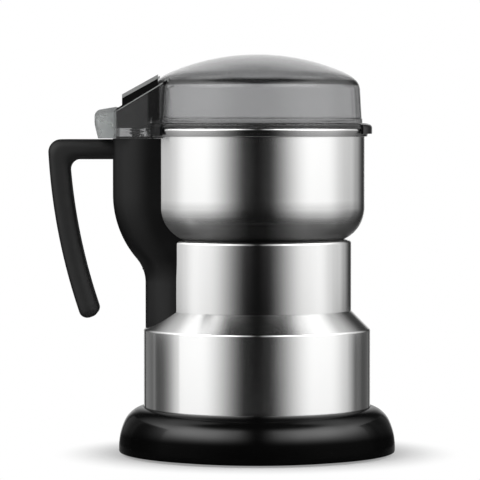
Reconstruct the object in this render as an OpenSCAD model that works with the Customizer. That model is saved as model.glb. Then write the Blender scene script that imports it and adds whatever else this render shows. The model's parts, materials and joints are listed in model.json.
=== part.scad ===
// Blade coffee grinder: base, steel motor body, fixed steel bowl, smoked lid with a press key, open handle.
// Millimetres, +Z up. The origin is where the body's axis meets the table, and the handle points to -X.

/* [Base] */
// Largest diameter of the base
base_d = 138.2; // [134:0.2:150]
// Height of the base's top edge above the table
base_h = 24.2; // [22:0.2:27]
// Angle at which the lower, nearly upright arc of the base's side passes into the upper one
base_turn = 25; // [18:1:32]
// Wall of the base moulding
base_wall = 3; // [2:0.25:4]
// How far the rubber foot stands below the base
foot_proud = 1.2; // [0.6:0.2:2]
// Distance of the rubber foot's middle line from the cover's edge
foot_inset = 9.5; // [8:0.5:12]
// Width of the rubber foot
foot_w = 7; // [4:0.5:8]
// Thickness of the bottom cover
cover_t = 2.6; // [2:0.2:3.4]
// Number of air slots round the bottom cover
vent_count = 36; // [12:1:48]
// Width of an air slot
vent_w = 2.2; // [1:0.2:3]
// Diameter of the mains cord that the inlet takes
cord_d = 5.8; // [4:0.2:7]

/* [Body shell] */
// Diameter of the lower body
shell_d = 113.4; // [110:0.2:118]
// Diameter of the neck
neck_d = 94.4; // [92:0.2:100]
// Height of the shoulder's lower edge above the table
shoulder_z = 62.7; // [56:0.1:66]
// Height of the neck's top above the table
neck_z = 107.6; // [104:0.1:112]
// Sheet thickness of the body and the bowl
sheet = 0.8; // [0.5:0.1:1]
// Radius of the shoulder's lower edge
shoulder_round = 1.6; // [1.2:0.1:3]
// Radius of the neck's top edge
neck_round = 2; // [1.2:0.1:3]

/* [Bowl] */
// Outer diameter of the bowl's wall
bowl_d = 107.6; // [104:0.2:109]
// Height of the bowl, from its floor's underside to the top of its rim
bowl_h = 55.7; // [50:0.1:70]
// Outer radius of the bowl's bottom corner
bowl_corner = 15; // [8:0.5:20]
// Height of the rolled rim
rim_h = 4.5; // [3:0.1:5]
// Thickness of the rolled rim, measured outwards from the bowl's inner wall
rim_t = 2.9; // [2:0.1:3.2]

/* [Lid] */
// Outer diameter of the lid over its hook, which reaches over the rim opposite the key
lid_d = 115; // [113.6:0.2:118]
// Height of the hook below the flange's underside
hook_h = 3.3; // [2:0.1:4]
// Thickness of the hook
hook_t = 1.1; // [0.8:0.1:1.2]
// Width of the hook
hook_w = 48; // [30:1:56]
// Thickness of the flange that lies on the rim
flange_t = 2.1; // [1.5:0.1:3]
// Outer diameter of the lid's upright wall
lid_wall_d = 103; // [98:0.2:104]
// Widening of the lid's wall from its top to the flange, measured on the radius
lid_draft = 0.9; // [0:0.1:1.2]
// Thickness of the lid's wall and dome
lid_t = 2; // [1.5:0.1:2.5]
// Height of the dome's crown above the bowl's rim
lid_h = 36.5; // [30:0.5:42]
// Radius of the dome
dome_r = 110; // [90:1:150]
// Radius between the lid's wall and its dome
lid_round = 8; // [3.5:0.5:9]
// Depth of the collar that centres the lid inside the bowl
collar_h = 6; // [3:0.5:10]

/* [Hood and key] */
// Reach of the hood from the body's axis
hood_reach = 80.5; // [78:0.5:86]
// Width of the hood
hood_w = 48; // [44:0.5:50]
// Wall of the hood
hood_wall = 2; // [1.2:0.1:2.5]
// Plan radius of the hood's outer corners
hood_corner = 9.5; // [6:0.5:12]
// Slope of the hood's side edges
hood_slope = 31; // [26:1:33]
// Depth of the hood's side edge below the dome's crown, at the lid's wall
hood_edge_drop = 17.4; // [15:0.1:19]
// Travel of the press key
key_travel = 2.5; // [1.5:0.1:3]
// Slope of the key's top
key_slope = 29; // [27:1:30]
// Height of the black part of the key above the hood's side edge, at the lid's wall
key_proud = 3.7; // [3:0.1:6]
// Thickness of the smoked plate on the key
key_cap_t = 1.7; // [1:0.1:2]
// Wall of the key's skirt
key_wall = 1.6; // [1:0.1:2]
// Diameter of the key's press pin
press_pin_d = 4; // [3:0.1:4.4]
// Outer diameter of a return spring under the key
key_spring_d = 6.5; // [5.5:0.1:7]
// Wire of a return spring under the key
key_wire_d = 0.8; // [0.5:0.1:0.9]

/* [Handle] */
// Width of the handle's column
handle_w = 50; // [48:1:56]
// Wall of the hollow column
handle_wall = 2.6; // [2:0.1:3.5]
// Radius of the column's outer edges
handle_round = 20; // [8:0.5:22]
// Depth of the handle's top face below the bowl's rim
handle_drop = 5.8; // [5:0.1:8]
// Distance of the column's upper outer face from the axis
column_x = 71.8; // [71:0.2:76]
// Distance of the column's lower outer face from the axis
column_foot_x = 55.6; // [54:0.2:58]
// Height at which the column's face starts to bend inwards
bend_z = 130; // [124:0.5:136]
// Radius of the column's upper, outward bend
bend_top_r = 49; // [40:1:52]
// Radius of the column's lower, inward bend
bend_foot_r = 18.7; // [14:0.1:22]
// Distance of the grip's outer face from the axis, at the top
grip_x = 104; // [100:0.5:112]
// Radius of the grip's centre line
grip_r = 295; // [240:5:400]
// Lean of the grip's centre line at its top
grip_lean = 2.7; // [1:0.1:5]
// Height of the grip's lowest point
grip_z = 69; // [60:0.5:80]
// Thickness of the grip
grip_t = 10; // [8:0.5:12]
// Width of the grip
grip_w = 24; // [18:1:30]
// Edge radius of the grip
grip_round = 4; // [2:0.25:4]
// Outer and inner radius of the grip's corner
grip_corner = [4.5, 4.2]; // [3:0.1:8]

/* [Motor and blade] */
// Diameter of the motor shaft
shaft_d = 6; // [5:0.1:7]
// Height of the lamination stack
stack_h = 22; // [18:1:24]
// Length and width of the stator laminations
stack_size = [64, 50]; // [46:1:66]
// Diameter of the armature
armature_d = 29.4; // [27:0.2:31]
// Air gap round the armature
air_gap = 0.5; // [0.3:0.1:1]
// Diameter of the commutator
commutator_d = 16; // [14:0.5:18]
// Diameter of the cooling fan
fan_d = 60; // [50:1:66]
// Number of fan blades
fan_count = 9; // [5:1:13]
// Length of the blade from tip to tip
blade_span = 74; // [60:1:78]
// Width of the blade
blade_w = 12; // [9:0.5:14]
// Thickness of the blade
blade_t = 1.5; // [1:0.1:2]
// Height of the blade's underside above the bowl's floor
blade_lift = 5; // [4.4:0.1:8]
// Upward and downward bend of the blade's two arms
blade_bend = [18, 5]; // [0:1:20]

/* [Fits] */
// Radial gap of a turning or sliding fit
run_gap = 0.05; // [0.02:0.01:0.1]
// Gap round a piece that is seated and held
seat_gap = 0.1; // [0.05:0.05:0.2]
// Gap between pieces that move past each other
move_gap = 0.4; // [0.3:0.05:0.6]

/* [Hidden] */
$fn = 96;

// Colours
black_plastic = [0.06, 0.06, 0.06];
steel = [0.78, 0.78, 0.78];
smoke = [0.35, 0.36, 0.37, 0.6];
rubber_black = [0.12, 0.12, 0.12];
copper = [0.72, 0.4, 0.2];
brass = [0.75, 0.6, 0.3];
white_plastic = [0.85, 0.85, 0.8];

// Overlap used where a cut has to pass a face
past = 1;

// Base levels and radii
base_r = base_d / 2;
base_edge = 0.8;
base_lip_h = 2.8;
base_arc_z = foot_proud + base_lip_h;
cover_top = foot_proud + cover_t;
cover_ledge = 1.1;
cover_r = base_r - base_wall - cover_ledge;
shell_seat_depth = 2;
deck_t = 3;
shell_z = base_h - shell_seat_depth;
deck_z = shell_z - deck_t;
foot_groove = cover_t / 2;
foot_in_r = cover_r - foot_inset - foot_w / 2;
foot_out_r = cover_r - foot_inset + foot_w / 2;
vent_margin = 1.3;
screw_d = 3.2;
screw_head_d = 6;
screw_head_h = 2.2;
screw_bite = 8;
screw_count = 4;
boss_d = 8;
cover_screw_r = foot_in_r - boss_d;
deck_hole_r = cover_screw_r - boss_d * 0.75;

// The base's side: a lower arc and an upper arc that passes smoothly into it and is level at its crest
crest_inset = 2.2;
side_rise = base_h - base_arc_z;
side_run = base_d / 2 - shell_d / 2 + crest_inset;
arc_step = (side_run - side_rise) / (1 - sin(base_turn) - cos(base_turn));
base_top_r = side_rise - arc_step * sin(base_turn);
base_side_r = base_top_r + arc_step;
side_c = [base_r - base_side_r, base_arc_z];
top_c = [base_r - side_run, base_h - base_top_r];

// Cord inlet
gland_wall = 1.4;
gland_flange_w = 1.3;
gland_flange_t = 1.8;
gland_sink = 0.2;
gland_z = (cover_top + deck_z) / 2;
gland_neck_r = cord_d / 2 + gland_wall;
gland_flange_r = gland_neck_r + gland_flange_w;
gland_y = base_face(gland_z + gland_flange_r) - gland_sink;
gland_boss_r = gland_flange_r + 1;
gland_neck_l = base_wall + 1;

// Body shell
shell_r = shell_d / 2;
neck_r = neck_d / 2;
shell_foot_w = 6.7;
shell_mouth_r = shell_r - shell_foot_w;
shell_screw_r = shell_r - shell_foot_w / 2;
neck_lip_w = 7.2;
neck_mouth_r = neck_r - neck_lip_w;
shoulder_tilt = 45;

// Bowl and the plate under it
bowl_r = bowl_d / 2;
bowl_in_r = bowl_r - sheet;
bowl_floor = neck_z + sheet;
rim_top = neck_z + bowl_h;
rim_r = rim_t / 2;
seat_r = neck_r - neck_round - seat_gap;
seat_t = 4;
seat_top = neck_z - sheet;
seal_r = 9;
seal_flange_r = 13;
seal_nose_r = 6.5;
seal_step = 1.2;
seal_h = 3.6;
seal_depth = 4;
bowl_screw_r = 22;
bowl_screw_count = 3;
bowl_screw_d = 3.8;
bowl_screw_head = [8, 2.2];
bowl_screw_l = 13;
bowl_screw_spare = 2;
seal_wall = 2.5;
bowl_boss_d = 9;

// Motor levels, from the lower bracket's plate upwards
shaft_r = shaft_d / 2;
strap_t = 2.5;
arm_t = 2;
strap_w = 16;
bush_wall = 3;
bush_r = shaft_r + bush_wall;
hub_wall = 3;
hub_r = bush_r + hub_wall;
hub_h = 5;
brush_plate_z = 31.5;
brush_plate_top = brush_plate_z + strap_t;
brush_room = 16;
stack_z = brush_plate_top + brush_room;
stack_top = stack_z + stack_h;
winding_room = 11.5;
upper_plate_z = stack_top + winding_room;
upper_plate_top = upper_plate_z + strap_t;
upper_hub_top = upper_plate_top + hub_h;
lower_hub_z = brush_plate_z - hub_h;
yoke_t = 6;
bolt_d = 4;
bolt_head = [7, 3];
bolt_y = stack_size.y / 2 - yoke_t / 2;
bolt_bite = 14;
post_d = 7.6;
armature_r = armature_d / 2;
commutator_r = commutator_d / 2;
slot_count = 12;
slot_r = armature_r * 0.75;
slot_round = 1.8;
slot_w = 1.6;
winding_rise = [5.5, 6.5];
winding_gap = 0.2;
winding_inset = 1.6;
winding_r = armature_r - winding_inset;
winding_round = 2;
commutator_gap = 0.6;
commutator_groove = [1.6, 0.5];
pole_w = 23;
shoe_t = 4;
shoe_r = armature_r + air_gap + shoe_t;
stack_corner = 8;
strap_lip = 1;
coil_t = 4.5;
coil_gap = 0.4;
coil_l = stack_size.x / 2 - yoke_t - shoe_r - 2 * coil_gap;
brush_size = [9, 6, 6.2];
brush_wall = 1.1;
brush_reach = 25;
brush_z = brush_plate_top + brush_wall + seat_gap + brush_size.z / 2;
brush_gap = 1.5;
brush_start = commutator_r + brush_gap;
brush_spring_d = 5;
brush_wire_d = 0.6;
brush_turns = 5;
brush_spring_start = commutator_r + brush_size.x;
brush_spring_l = brush_reach - brush_wall - brush_spring_start;
brush_arm = [4, 12];
fan_disc_t = 1.5;
fan_blade_h = 7;
fan_gap = 1.5;
fan_top = lower_hub_z - fan_gap;
fan_margin = 1;
vane_t = 1.4;
vane_turn = 100;
shaft_bottom = fan_top - fan_disc_t - fan_blade_h - fan_margin;

// Blade and nut
blade_z = bowl_floor + blade_lift;
blade_top = blade_z + blade_t;
tang_step = 0.5;
tang_r = shaft_r - tang_step;
blade_grind_w = 2.6;
blade_flat = 12;
blade_hub_r = 9;
washer_t = 0.8;
washer_r = 6.5;
nut_z = blade_top + washer_t;
nut_hex_h = 4.5;
nut_across = 9;
nut_dome_sink = 1;
nut_dome_r = 4.3;

// Lid
lid_r = lid_d / 2;
lid_wall_r = lid_wall_d / 2;
lid_z = rim_top + seat_gap;
flange_top = lid_z + flange_t;
flange_r = lid_r - hook_t;
hook_round = 2;
hook_edge = 0.4;
flange_round = 1.5;
collar_r = bowl_in_r - move_gap;
collar_t = 2;
crown_z = rim_top + lid_h;
dome_c = [0, crown_z - dome_r];
lid_round_x = lid_wall_r - lid_round;
lid_round_c = [lid_round_x, dome_c.y + sqrt((dome_r - lid_round) ^ 2 - lid_round_x ^ 2)];
dome_angle = acos(lid_round_c.x / (dome_r - lid_round));

// Hood, in distances from the axis towards the handle
handle_top = rim_top - handle_drop;
hood_z = handle_top + move_gap;
hood_floor_t = 1;
hood_floor_top = hood_z + hood_floor_t;
hood_edge_z = crown_z - hood_edge_drop;
rib_inset = 1.6;
key_reach = hood_reach - hood_corner - rib_inset;
rib_t = 1.2;
roof_rise = 1.8;
roof_slope = 9;
roof_round = 4;
hood_foot_lean = 2;
roof_z = hood_edge(key_reach) + roof_rise;
roof_c = [hood_reach - roof_round,
    roof_z - tan(roof_slope) * (hood_reach - roof_round - key_reach) - roof_round / cos(roof_slope)];
hood_foot_h = (roof_c.y - hood_z) * 0.74;

// Key
key_skirt_gap = 4.1;
key_skirt_z = hood_floor_top + key_skirt_gap;
key_rise = 1;
key_deck_t = 2.2;
key_plate_inset = 1.8;
key_plate_back = 2.7;
key_top_reach = key_reach - key_plate_back;
key_clear_r = lid_wall_r + lid_draft + move_gap;
key_top_near = sqrt(key_clear_r ^ 2 - (hood_w / 2) ^ 2) - past;
flange_clear_z = flange_top + key_travel + move_gap;
press_pin_r = press_pin_d / 2;
pin_inset = 1;
pin_u = lid_r + press_pin_r + pin_inset;
pin_tip_z = handle_top + move_gap;
pin_hole_gap = 0.6;
key_spring_l = 8;
spring_seat_z = hood_floor_top + key_spring_l;
spring_spread = 14;
spring_at = [pin_u - key_wire_d / 2, spring_spread];
spring_seat_d = key_spring_d + key_wire_d / 2;
spring_peg_h = 2.4;
key_turns = 4;

// Handle
column_gap = 0.6;
column_z = shoulder_z + column_gap;
column_back = 30;
handle_gap = 0.3;
bend_turn = acos(1 - (column_x - column_foot_x) / (bend_top_r + bend_foot_r));
bend_mid_z = bend_z - bend_top_r * sin(bend_turn);
bend_end_z = bend_mid_z - bend_foot_r * sin(bend_turn);
bend_steps = 8;
roof_t = 3.8;
grip_out_r = grip_r + grip_t / 2;
grip_in_r = grip_r - grip_t / 2;
grip_c = [grip_x - grip_out_r * cos(grip_lean), handle_top - grip_corner[0] + grip_out_r * sin(grip_lean)];
bar_z = handle_top - grip_t;
grip_bulge = 4;
handle_screw_d = 3.2;
handle_screw_head = [6.4, 2.2];
handle_screw_rise = 14;
handle_screw_pitch = 19;
handle_screw_z = [column_z + handle_screw_rise, column_z + handle_screw_rise + handle_screw_pitch];
handle_boss_r = handle_screw_d / 2 + 2.4;

// Interlock pin and switch
pin_r = 2.5;
pin_collar = [4.2, 2];
pin_collar_top = handle_top - roof_t - move_gap * 0.75;
interlock_l = 10.5;
shelf_top = pin_collar_top - pin_collar[1] - interlock_l;
shelf_t = 2.5;
interlock_wire_d = 0.7;
interlock_turns = 6;
interlock_d = 2 * (pin_collar[0] - seat_gap);
pin_tip_r = 1.2;
pin_tip_l = 4.8;
pin_end_z = shelf_top - shelf_t - pin_tip_l;
switch_size = [6.4, 20, 9.2];
lever_t = 0.5;
lever_w = 4;
lever_l = 15;
lever_y = 8.5;
lever_rod_r = 0.6;
lever_rest = 18;
lever_z = pin_end_z - move_gap - (lever_y + pin_tip_r) * tan(lever_rest) - lever_t / 2;
lever_ear = 0.8;
switch_top = lever_z - lever_ear;
switch_z = switch_top - switch_size.z;
switch_pitch = 9.5;
switch_screw = [2.4, 3.8, 1.4];
button_r = 1.2;
button_y = 2;
button_proud = 1.15;
button_top = switch_top + button_proud;
button_depth = 3;
ear_t = 0.8;
ear_w = 3;
switch_boss_wall = 0.6;
terminal_pitch = 7;
switch_screw_bite = 4;
terminal = [0.5, 3.2, 5];

// Points of an arc about c in a profile
function arc(c, r, from, to, steps = 8) =
    let (turn = (to - from) / steps)
    [for (i = [0 : steps]) c + r * [cos(from + turn * i), sin(from + turn * i)]];

// Height of the hood's side edge at distance u from the axis
function hood_edge(u) = hood_edge_z - (u - lid_wall_r) * tan(hood_slope);

// Distance of the base's side from the axis at height z
function base_face(z) =
    z < base_arc_z ? base_r
    : z < base_arc_z + base_side_r * sin(base_turn) ? side_c.x + sqrt(base_side_r ^ 2 - (z - side_c.y) ^ 2)
    : top_c.x + sqrt(base_top_r ^ 2 - (z - top_c.y) ^ 2);

// Height of the black key's top at distance u from the axis
function key_top(u) = hood_edge_z + key_proud - (u - lid_wall_r) * tan(key_slope);

// Height inside the key's deck at distance u from the axis, to which the posts under it reach
function key_under(u) = hood_edge(u) + key_rise - key_deck_t / 2;

// Outline of the base, moved in by inset
function base_points(inset) = concat(
    [[0, foot_proud], [base_r - inset - base_edge, foot_proud], [base_r - inset, foot_proud + base_edge]],
    arc(side_c, base_side_r - inset, 0, base_turn),
    arc(top_c, base_top_r - inset, base_turn, 90, 14),
    [[0, base_h - inset]]);

// Outline of the body shell, moved in by inset
function shell_points(inset) = concat(
    [[0, shell_z + inset], [shell_r - inset, shell_z + inset]],
    arc([shell_r - shoulder_round, shoulder_z - shoulder_round * tan(shoulder_tilt / 2)],
        shoulder_round - inset, 0, shoulder_tilt, 5),
    [[neck_r - inset, shoulder_z + shell_r - neck_r - inset * tan(shoulder_tilt / 2)]],
    arc([neck_r - neck_round, neck_z - neck_round], neck_round - inset, 0, 90, 6),
    [[0, neck_z - inset]]);

// Outline of the bowl without its rim, moved in by inset
function bowl_points(inset) = concat(
    [[0, neck_z + inset]],
    arc([bowl_r - bowl_corner, neck_z + bowl_corner], bowl_corner - inset, -90, 0, 14),
    [[bowl_r - inset, rim_top], [0, rim_top]]);

// Outline of the lid's wall and dome, moved in by inset and ending at the flange
function dome_points(inset) = concat(
    arc(dome_c, dome_r - inset, 90, dome_angle, 12),
    arc(lid_round_c, lid_round - inset, dome_angle, 0, 8),
    [[lid_wall_r + lid_draft - inset, flange_top]]);

function reversed(list) = [for (i = [len(list) - 1 : -1 : 0]) list[i]];

// Distance of the column's outer face from the axis at height z
function column_face(z) =
    z >= bend_z ? column_x
    : z >= bend_mid_z ? column_x - bend_top_r + sqrt(bend_top_r ^ 2 - (bend_z - z) ^ 2)
    : z >= bend_end_z ? column_foot_x + bend_foot_r - sqrt(bend_foot_r ^ 2 - (z - bend_end_z) ^ 2)
    : column_foot_x;

// Heights at which the column's face is sampled, between low and high
function column_levels(low, high) = concat(
    [low],
    [for (i = [0 : bend_steps]) bend_end_z + bend_foot_r * sin(bend_turn * i / bend_steps)],
    [for (i = [bend_steps - 1 : -1 : 0]) bend_z - bend_top_r * sin(bend_turn * i / bend_steps)],
    [high]);

// Section of the column at height z, with rounded outer edges, drawn in by inset
function column_ring(z, inset = 0) =
    let (u = handle_round - column_face(z), v = handle_w / 2 - handle_round, r = handle_round - inset)
    [for (p = concat(
        [[-column_back, -v - r]],
        arc([u, -v], r, 270, 180),
        arc([u, v], r, 180, 90),
        [[-column_back, v + r]])) [p.x, p.y, z]];

// Section of the grip between an outer and an inner point of its side view, drawn in by shrink
function grip_ring(outer, inner, shrink = 0) =
    let (middle = (outer + inner) / 2, half = (outer - inner) / 2, out = half / norm(half))
    let (p = norm(half) - shrink, q = grip_w / 2 - shrink, r = min(grip_round, p, q))
    [for (k = [0 : 3], s = arc([(k == 0 || k == 3 ? 1 : -1) * (p - r), (k < 2 ? 1 : -1) * (q - r)],
        r, 90 * k, 90 * k + 90, 4)) [-(middle + out * s.x).x, -s.y, (middle + out * s.x).y]];

// The ring at the grip's arc, where a is its angle below the arc's centre
function grip_arc_ring(a_out, a_in, shrink = 0) = grip_ring(
    grip_c + grip_out_r * [cos(a_out), -sin(a_out)],
    grip_c + grip_in_r * [cos(a_in), -sin(a_in)], shrink);

// Rings of a wire spring of length l along +Z, whose ends stand square on their seats
function spring_rings(r, wire_d, turns, l) = concat(
    [[0, 0, 90], [0, wire_d, 45]],
    [for (i = [1 : 8 * turns - 1]) [45 * i, wire_d + (l - 2 * wire_d) * i / (8 * turns),
        atan((l - 2 * wire_d) / turns / (2 * PI * r))]],
    [[360 * turns, l - wire_d, 45], [360 * turns, l, 90]]);

// Least gap between two turns of such a spring, measured on its centre points
function spring_gap(r, wire_d, turns, l) =
    let (p = [for (s = spring_rings(r, wire_d, turns, l)) [r * cos(s[0]), r * sin(s[0]), s[1]]])
    min([for (i = [0 : len(p) - 6], j = [i + 5 : len(p) - 1]) norm(p[i] - p[j])]) - wire_d;

// Solid through a row of like rings, each clockwise when seen from the far end
module loft(rings) {
    n = len(rings[0]);
    last = len(rings) - 1;
    steps = [for (i = [0 : last - 1], j = [0 : n - 1]) [i * n + j, i * n + (j + 1) % n]];
    polyhedron(
        points = [for (r = rings) each r],
        faces = concat(
            [[for (j = [n - 1 : -1 : 0]) j]],
            [for (s = steps) [s[0], s[1], s[1] + n]],
            [for (s = steps) [s[0], s[1] + n, s[0] + n]],
            [[for (j = [0 : n - 1]) last * n + j]]));
}

// Wire spring of outer diameter d along +Z
module spring(d, wire_d, turns, l) {
    r = (d - wire_d) / 2;
    w = wire_d / 2;
    loft([for (s = spring_rings(r, wire_d, turns, l)) [for (k = [5 : -1 : 0])
        [(r + w * cos(60 * k)) * cos(s[0]) + w * sin(60 * k) * sin(s[0]) * sin(s[2]),
         (r + w * cos(60 * k)) * sin(s[0]) - w * sin(60 * k) * cos(s[0]) * sin(s[2]),
         s[1] + w * sin(60 * k) * cos(s[2])]]]);
}

module round_copies(count, r, start = 0) {
    for (i = [0 : count - 1]) rotate(start + 360 * i / count) translate([r, 0, 0]) children();
}

module mirror_y() {
    children();
    mirror([0, 1, 0]) children();
}

module mirror_x() {
    children();
    mirror([1, 0, 0]) children();
}

// Screw with its head's seat at z = 0, its shank downwards and a cross recess
module screw(head, shank_d, shank_l) {
    slot = [head[0] * 0.6, head[0] * 0.14, head[1]];
    difference() {
        union() {
            cylinder(d = head[0], h = head[1]);
            translate([0, 0, -shank_l]) cylinder(d = shank_d, h = shank_l + head[1] / 2);
        }
        for (a = [0, 90]) rotate(a) translate([0, 0, head[1]]) cube(slot, center = true);
    }
}

// Piece of a side view, drawn as distance from the axis and height, given width w across
module side_plate(w) {
    rotate([90, 0, 180]) linear_extrude(w, center = true) children();
}

// Axis of a cylinder turned outwards along the handle's side
module outwards() {
    rotate([0, -90, 0]) children();
}

module base_ring() {
    boss_h = deck_z - cover_top;
    color(black_plastic) difference() {
        union() {
            difference() {
                rotate_extrude() polygon(base_points(0));
                rotate_extrude() intersection() {
                    polygon(base_points(base_wall));
                    translate([0, cover_top - past]) square([base_r, deck_z - cover_top + past]);
                }
                translate([0, 0, foot_proud - past]) cylinder(r = cover_r + seat_gap, h = cover_t + past);
            }
            round_copies(screw_count, cover_screw_r, 45) translate([0, 0, cover_top])
                cylinder(d = boss_d, h = boss_h + deck_t / 2);
            intersection() {
                translate([0, gland_y + past, gland_z]) rotate([90, 0, 0])
                    cylinder(r = gland_boss_r, h = gland_neck_l + past);
                rotate_extrude() polygon(base_points(base_wall / 3));
            }
        }
        translate([0, 0, shell_z]) cylinder(r = shell_r + seat_gap, h = shell_seat_depth + past);
        translate([0, 0, deck_z - past]) cylinder(r = deck_hole_r, h = base_h);
        round_copies(screw_count, cover_screw_r, 45) translate([0, 0, cover_top - past])
            cylinder(d = screw_d + 2 * seat_gap, h = boss_h + past);
        round_copies(screw_count, shell_screw_r) translate([0, 0, deck_z - past])
            cylinder(d = screw_d + 2 * seat_gap, h = base_h);
        translate([0, base_r, gland_z]) rotate([90, 0, 0])
            cylinder(r = gland_neck_r + seat_gap, h = base_r - gland_y + gland_neck_l + past);
        translate([0, base_r + past, gland_z]) rotate([90, 0, 0])
            cylinder(r = gland_flange_r + seat_gap, h = base_r + past - gland_y);
    }
}

module bottom_cover() {
    vent_in_r = foot_out_r + vent_margin;
    vent_l = cover_r - vent_margin - vent_in_r;
    color(black_plastic) difference() {
        translate([0, 0, foot_proud]) cylinder(r = cover_r, h = cover_t);
        translate([0, 0, foot_proud - past]) difference() {
            cylinder(r = foot_out_r + seat_gap, h = foot_groove + past);
            translate([0, 0, -past]) cylinder(r = foot_in_r - seat_gap, h = foot_groove + 3 * past);
        }
        round_copies(vent_count, vent_in_r) translate([0, -vent_w / 2, 0])
            cube([vent_l, vent_w, cover_top + past]);
        round_copies(screw_count, cover_screw_r, 45) {
            cylinder(d = screw_d + 2 * seat_gap, h = cover_top + past);
            cylinder(d = screw_head_d + 4 * seat_gap, h = foot_proud + cover_t / 2);
        }
    }
}

module foot_ring() {
    color(rubber_black) rotate_extrude()
        translate([foot_in_r, 0]) square([foot_w, foot_proud + foot_groove]);
}

module cover_screws() {
    head = [screw_head_d, cover_t / 2];
    color(steel) round_copies(screw_count, cover_screw_r, 45) translate([0, 0, foot_proud + cover_t / 2])
        mirror([0, 0, 1]) screw(head, screw_d, cover_t / 2 + screw_bite);
}

module shell_screws() {
    head = [screw_head_d, screw_head_h];
    color(steel) round_copies(screw_count, shell_screw_r) translate([0, 0, deck_z])
        mirror([0, 0, 1]) screw(head, screw_d, deck_t + sheet + screw_d);
}

module cord_gland() {
    color(rubber_black) translate([0, gland_y, gland_z]) rotate([-90, 0, 0]) difference() {
        union() {
            cylinder(r = gland_flange_r, h = gland_flange_t);
            translate([0, 0, -gland_neck_l])
                cylinder(r = gland_neck_r, h = gland_neck_l + gland_flange_t / 2);
            translate([0, 0, -gland_neck_l - gland_flange_t])
                cylinder(r = gland_flange_r, h = gland_flange_t);
        }
        translate([0, 0, -base_r / 2]) cylinder(d = cord_d, h = base_r);
    }
}

module body_shell() {
    color(steel) difference() {
        rotate_extrude() difference() {
            polygon(shell_points(0));
            polygon(shell_points(sheet));
            square([shell_mouth_r, shell_z + 2 * past]);
            translate([0, neck_z - 2 * past]) square([neck_mouth_r, 4 * past]);
        }
        round_copies(screw_count, shell_screw_r) translate([0, 0, shell_z - past])
            cylinder(d = screw_d + 2 * seat_gap, h = sheet + 2 * past);
        for (z = handle_screw_z) translate([-column_back, 0, z]) outwards()
            cylinder(d = handle_screw_d + 2 * seat_gap, h = neck_r);
    }
}

module bowl_seat() {
    color(black_plastic) difference() {
        union() {
            translate([0, 0, seat_top - seat_t]) cylinder(r = seat_r, h = seat_t);
            translate([0, 0, seat_top - past]) cylinder(r = neck_mouth_r - seat_gap, h = sheet + past);
            translate([0, 0, seat_top - 2 * seat_t]) cylinder(r = seal_r + seal_wall, h = 2 * seat_t);
            round_copies(bowl_screw_count, bowl_screw_r) translate([0, 0, neck_z - bowl_screw_l])
                cylinder(d = bowl_boss_d, h = bowl_screw_l);
            mirror_y() translate([0, bolt_y, stack_top + arm_t])
                cylinder(d = post_d, h = seat_top - stack_top - arm_t);
        }
        translate([0, 0, seat_top - 3 * seat_t]) cylinder(r = seal_r + seat_gap, h = 4 * seat_t);
        round_copies(bowl_screw_count, bowl_screw_r)
            translate([0, 0, neck_z - bowl_screw_l + bowl_screw_spare])
                cylinder(d = bowl_screw_d + 2 * seat_gap, h = bowl_screw_l);
        mirror_y() translate([0, bolt_y, stack_top])
            cylinder(d = bolt_d + 2 * seat_gap, h = arm_t + bolt_bite + seat_gap);
    }
}

module bowl() {
    rim_x = bowl_in_r + rim_r;
    low_c = [rim_x, rim_top - rim_h + rim_r];
    high_c = [rim_x, rim_top - rim_r];
    wall_angle = -acos((bowl_r - rim_x) / rim_r);
    color(steel) difference() {
        rotate_extrude() polygon(concat(
            [[seal_r + seat_gap, neck_z]],
            arc([bowl_r - bowl_corner, neck_z + bowl_corner], bowl_corner, -90, 0, 14),
            arc(low_c, rim_r, wall_angle, 0, 6),
            arc(high_c, rim_r, 0, 180, 10),
            reversed(arc([bowl_r - bowl_corner, neck_z + bowl_corner], bowl_corner - sheet, -90, 0, 14)),
            [[seal_r + seat_gap, bowl_floor]]));
        round_copies(bowl_screw_count, bowl_screw_r) translate([0, 0, neck_z - past])
            cylinder(d = bowl_screw_d + 2 * seat_gap, h = sheet + 2 * past);
    }
}

module bowl_screws() {
    color(steel) round_copies(bowl_screw_count, bowl_screw_r) translate([0, 0, bowl_floor])
        screw(bowl_screw_head, bowl_screw_d, bowl_screw_l - bowl_screw_spare);
}

module shaft_seal() {
    color(rubber_black) rotate_extrude() polygon([
        [shaft_r + run_gap, bowl_floor - seal_depth], [seal_r, bowl_floor - seal_depth], [seal_r, bowl_floor],
        [seal_flange_r, bowl_floor], [seal_flange_r, bowl_floor + seal_step],
        [seal_nose_r, bowl_floor + seal_h], [shaft_r + run_gap, bowl_floor + seal_h]]);
}

// Plan of a stator lamination: yoke and two poles with shoes round the armature
module lamination() {
    half = stack_size / 2;
    difference() {
        offset(r = stack_corner) square(stack_size - 2 * [stack_corner, stack_corner], center = true);
        square(stack_size - 2 * [yoke_t, yoke_t], center = true);
        for (y = [-1, 1]) translate([0, y * bolt_y]) circle(d = bolt_d + 2 * seat_gap);
    }
    mirror_x() difference() {
        union() {
            translate([armature_r, -pole_w / 2]) square([half.x - yoke_t / 2 - armature_r, pole_w]);
            intersection() {
                circle(shoe_r);
                translate([0, -shoe_r * 0.76]) square(shoe_r * [1, 1.52]);
            }
        }
        circle(armature_r + air_gap);
        translate([-shoe_r, -shoe_r]) square([shoe_r * 1.4, 2 * shoe_r]);
    }
}

module field_core() {
    color("dimgray") translate([0, 0, stack_z]) linear_extrude(stack_h) lamination();
}

module field_coils() {
    inner = [pole_w + 2 * coil_gap, stack_h + 2 * coil_gap];
    color(copper) mirror_x() translate([shoe_r + coil_gap, 0, stack_z + stack_h / 2])
        rotate([90, 0, 90]) linear_extrude(coil_l) difference() {
            offset(r = coil_t) square(inner, center = true);
            square(inner, center = true);
        }
}

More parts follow.
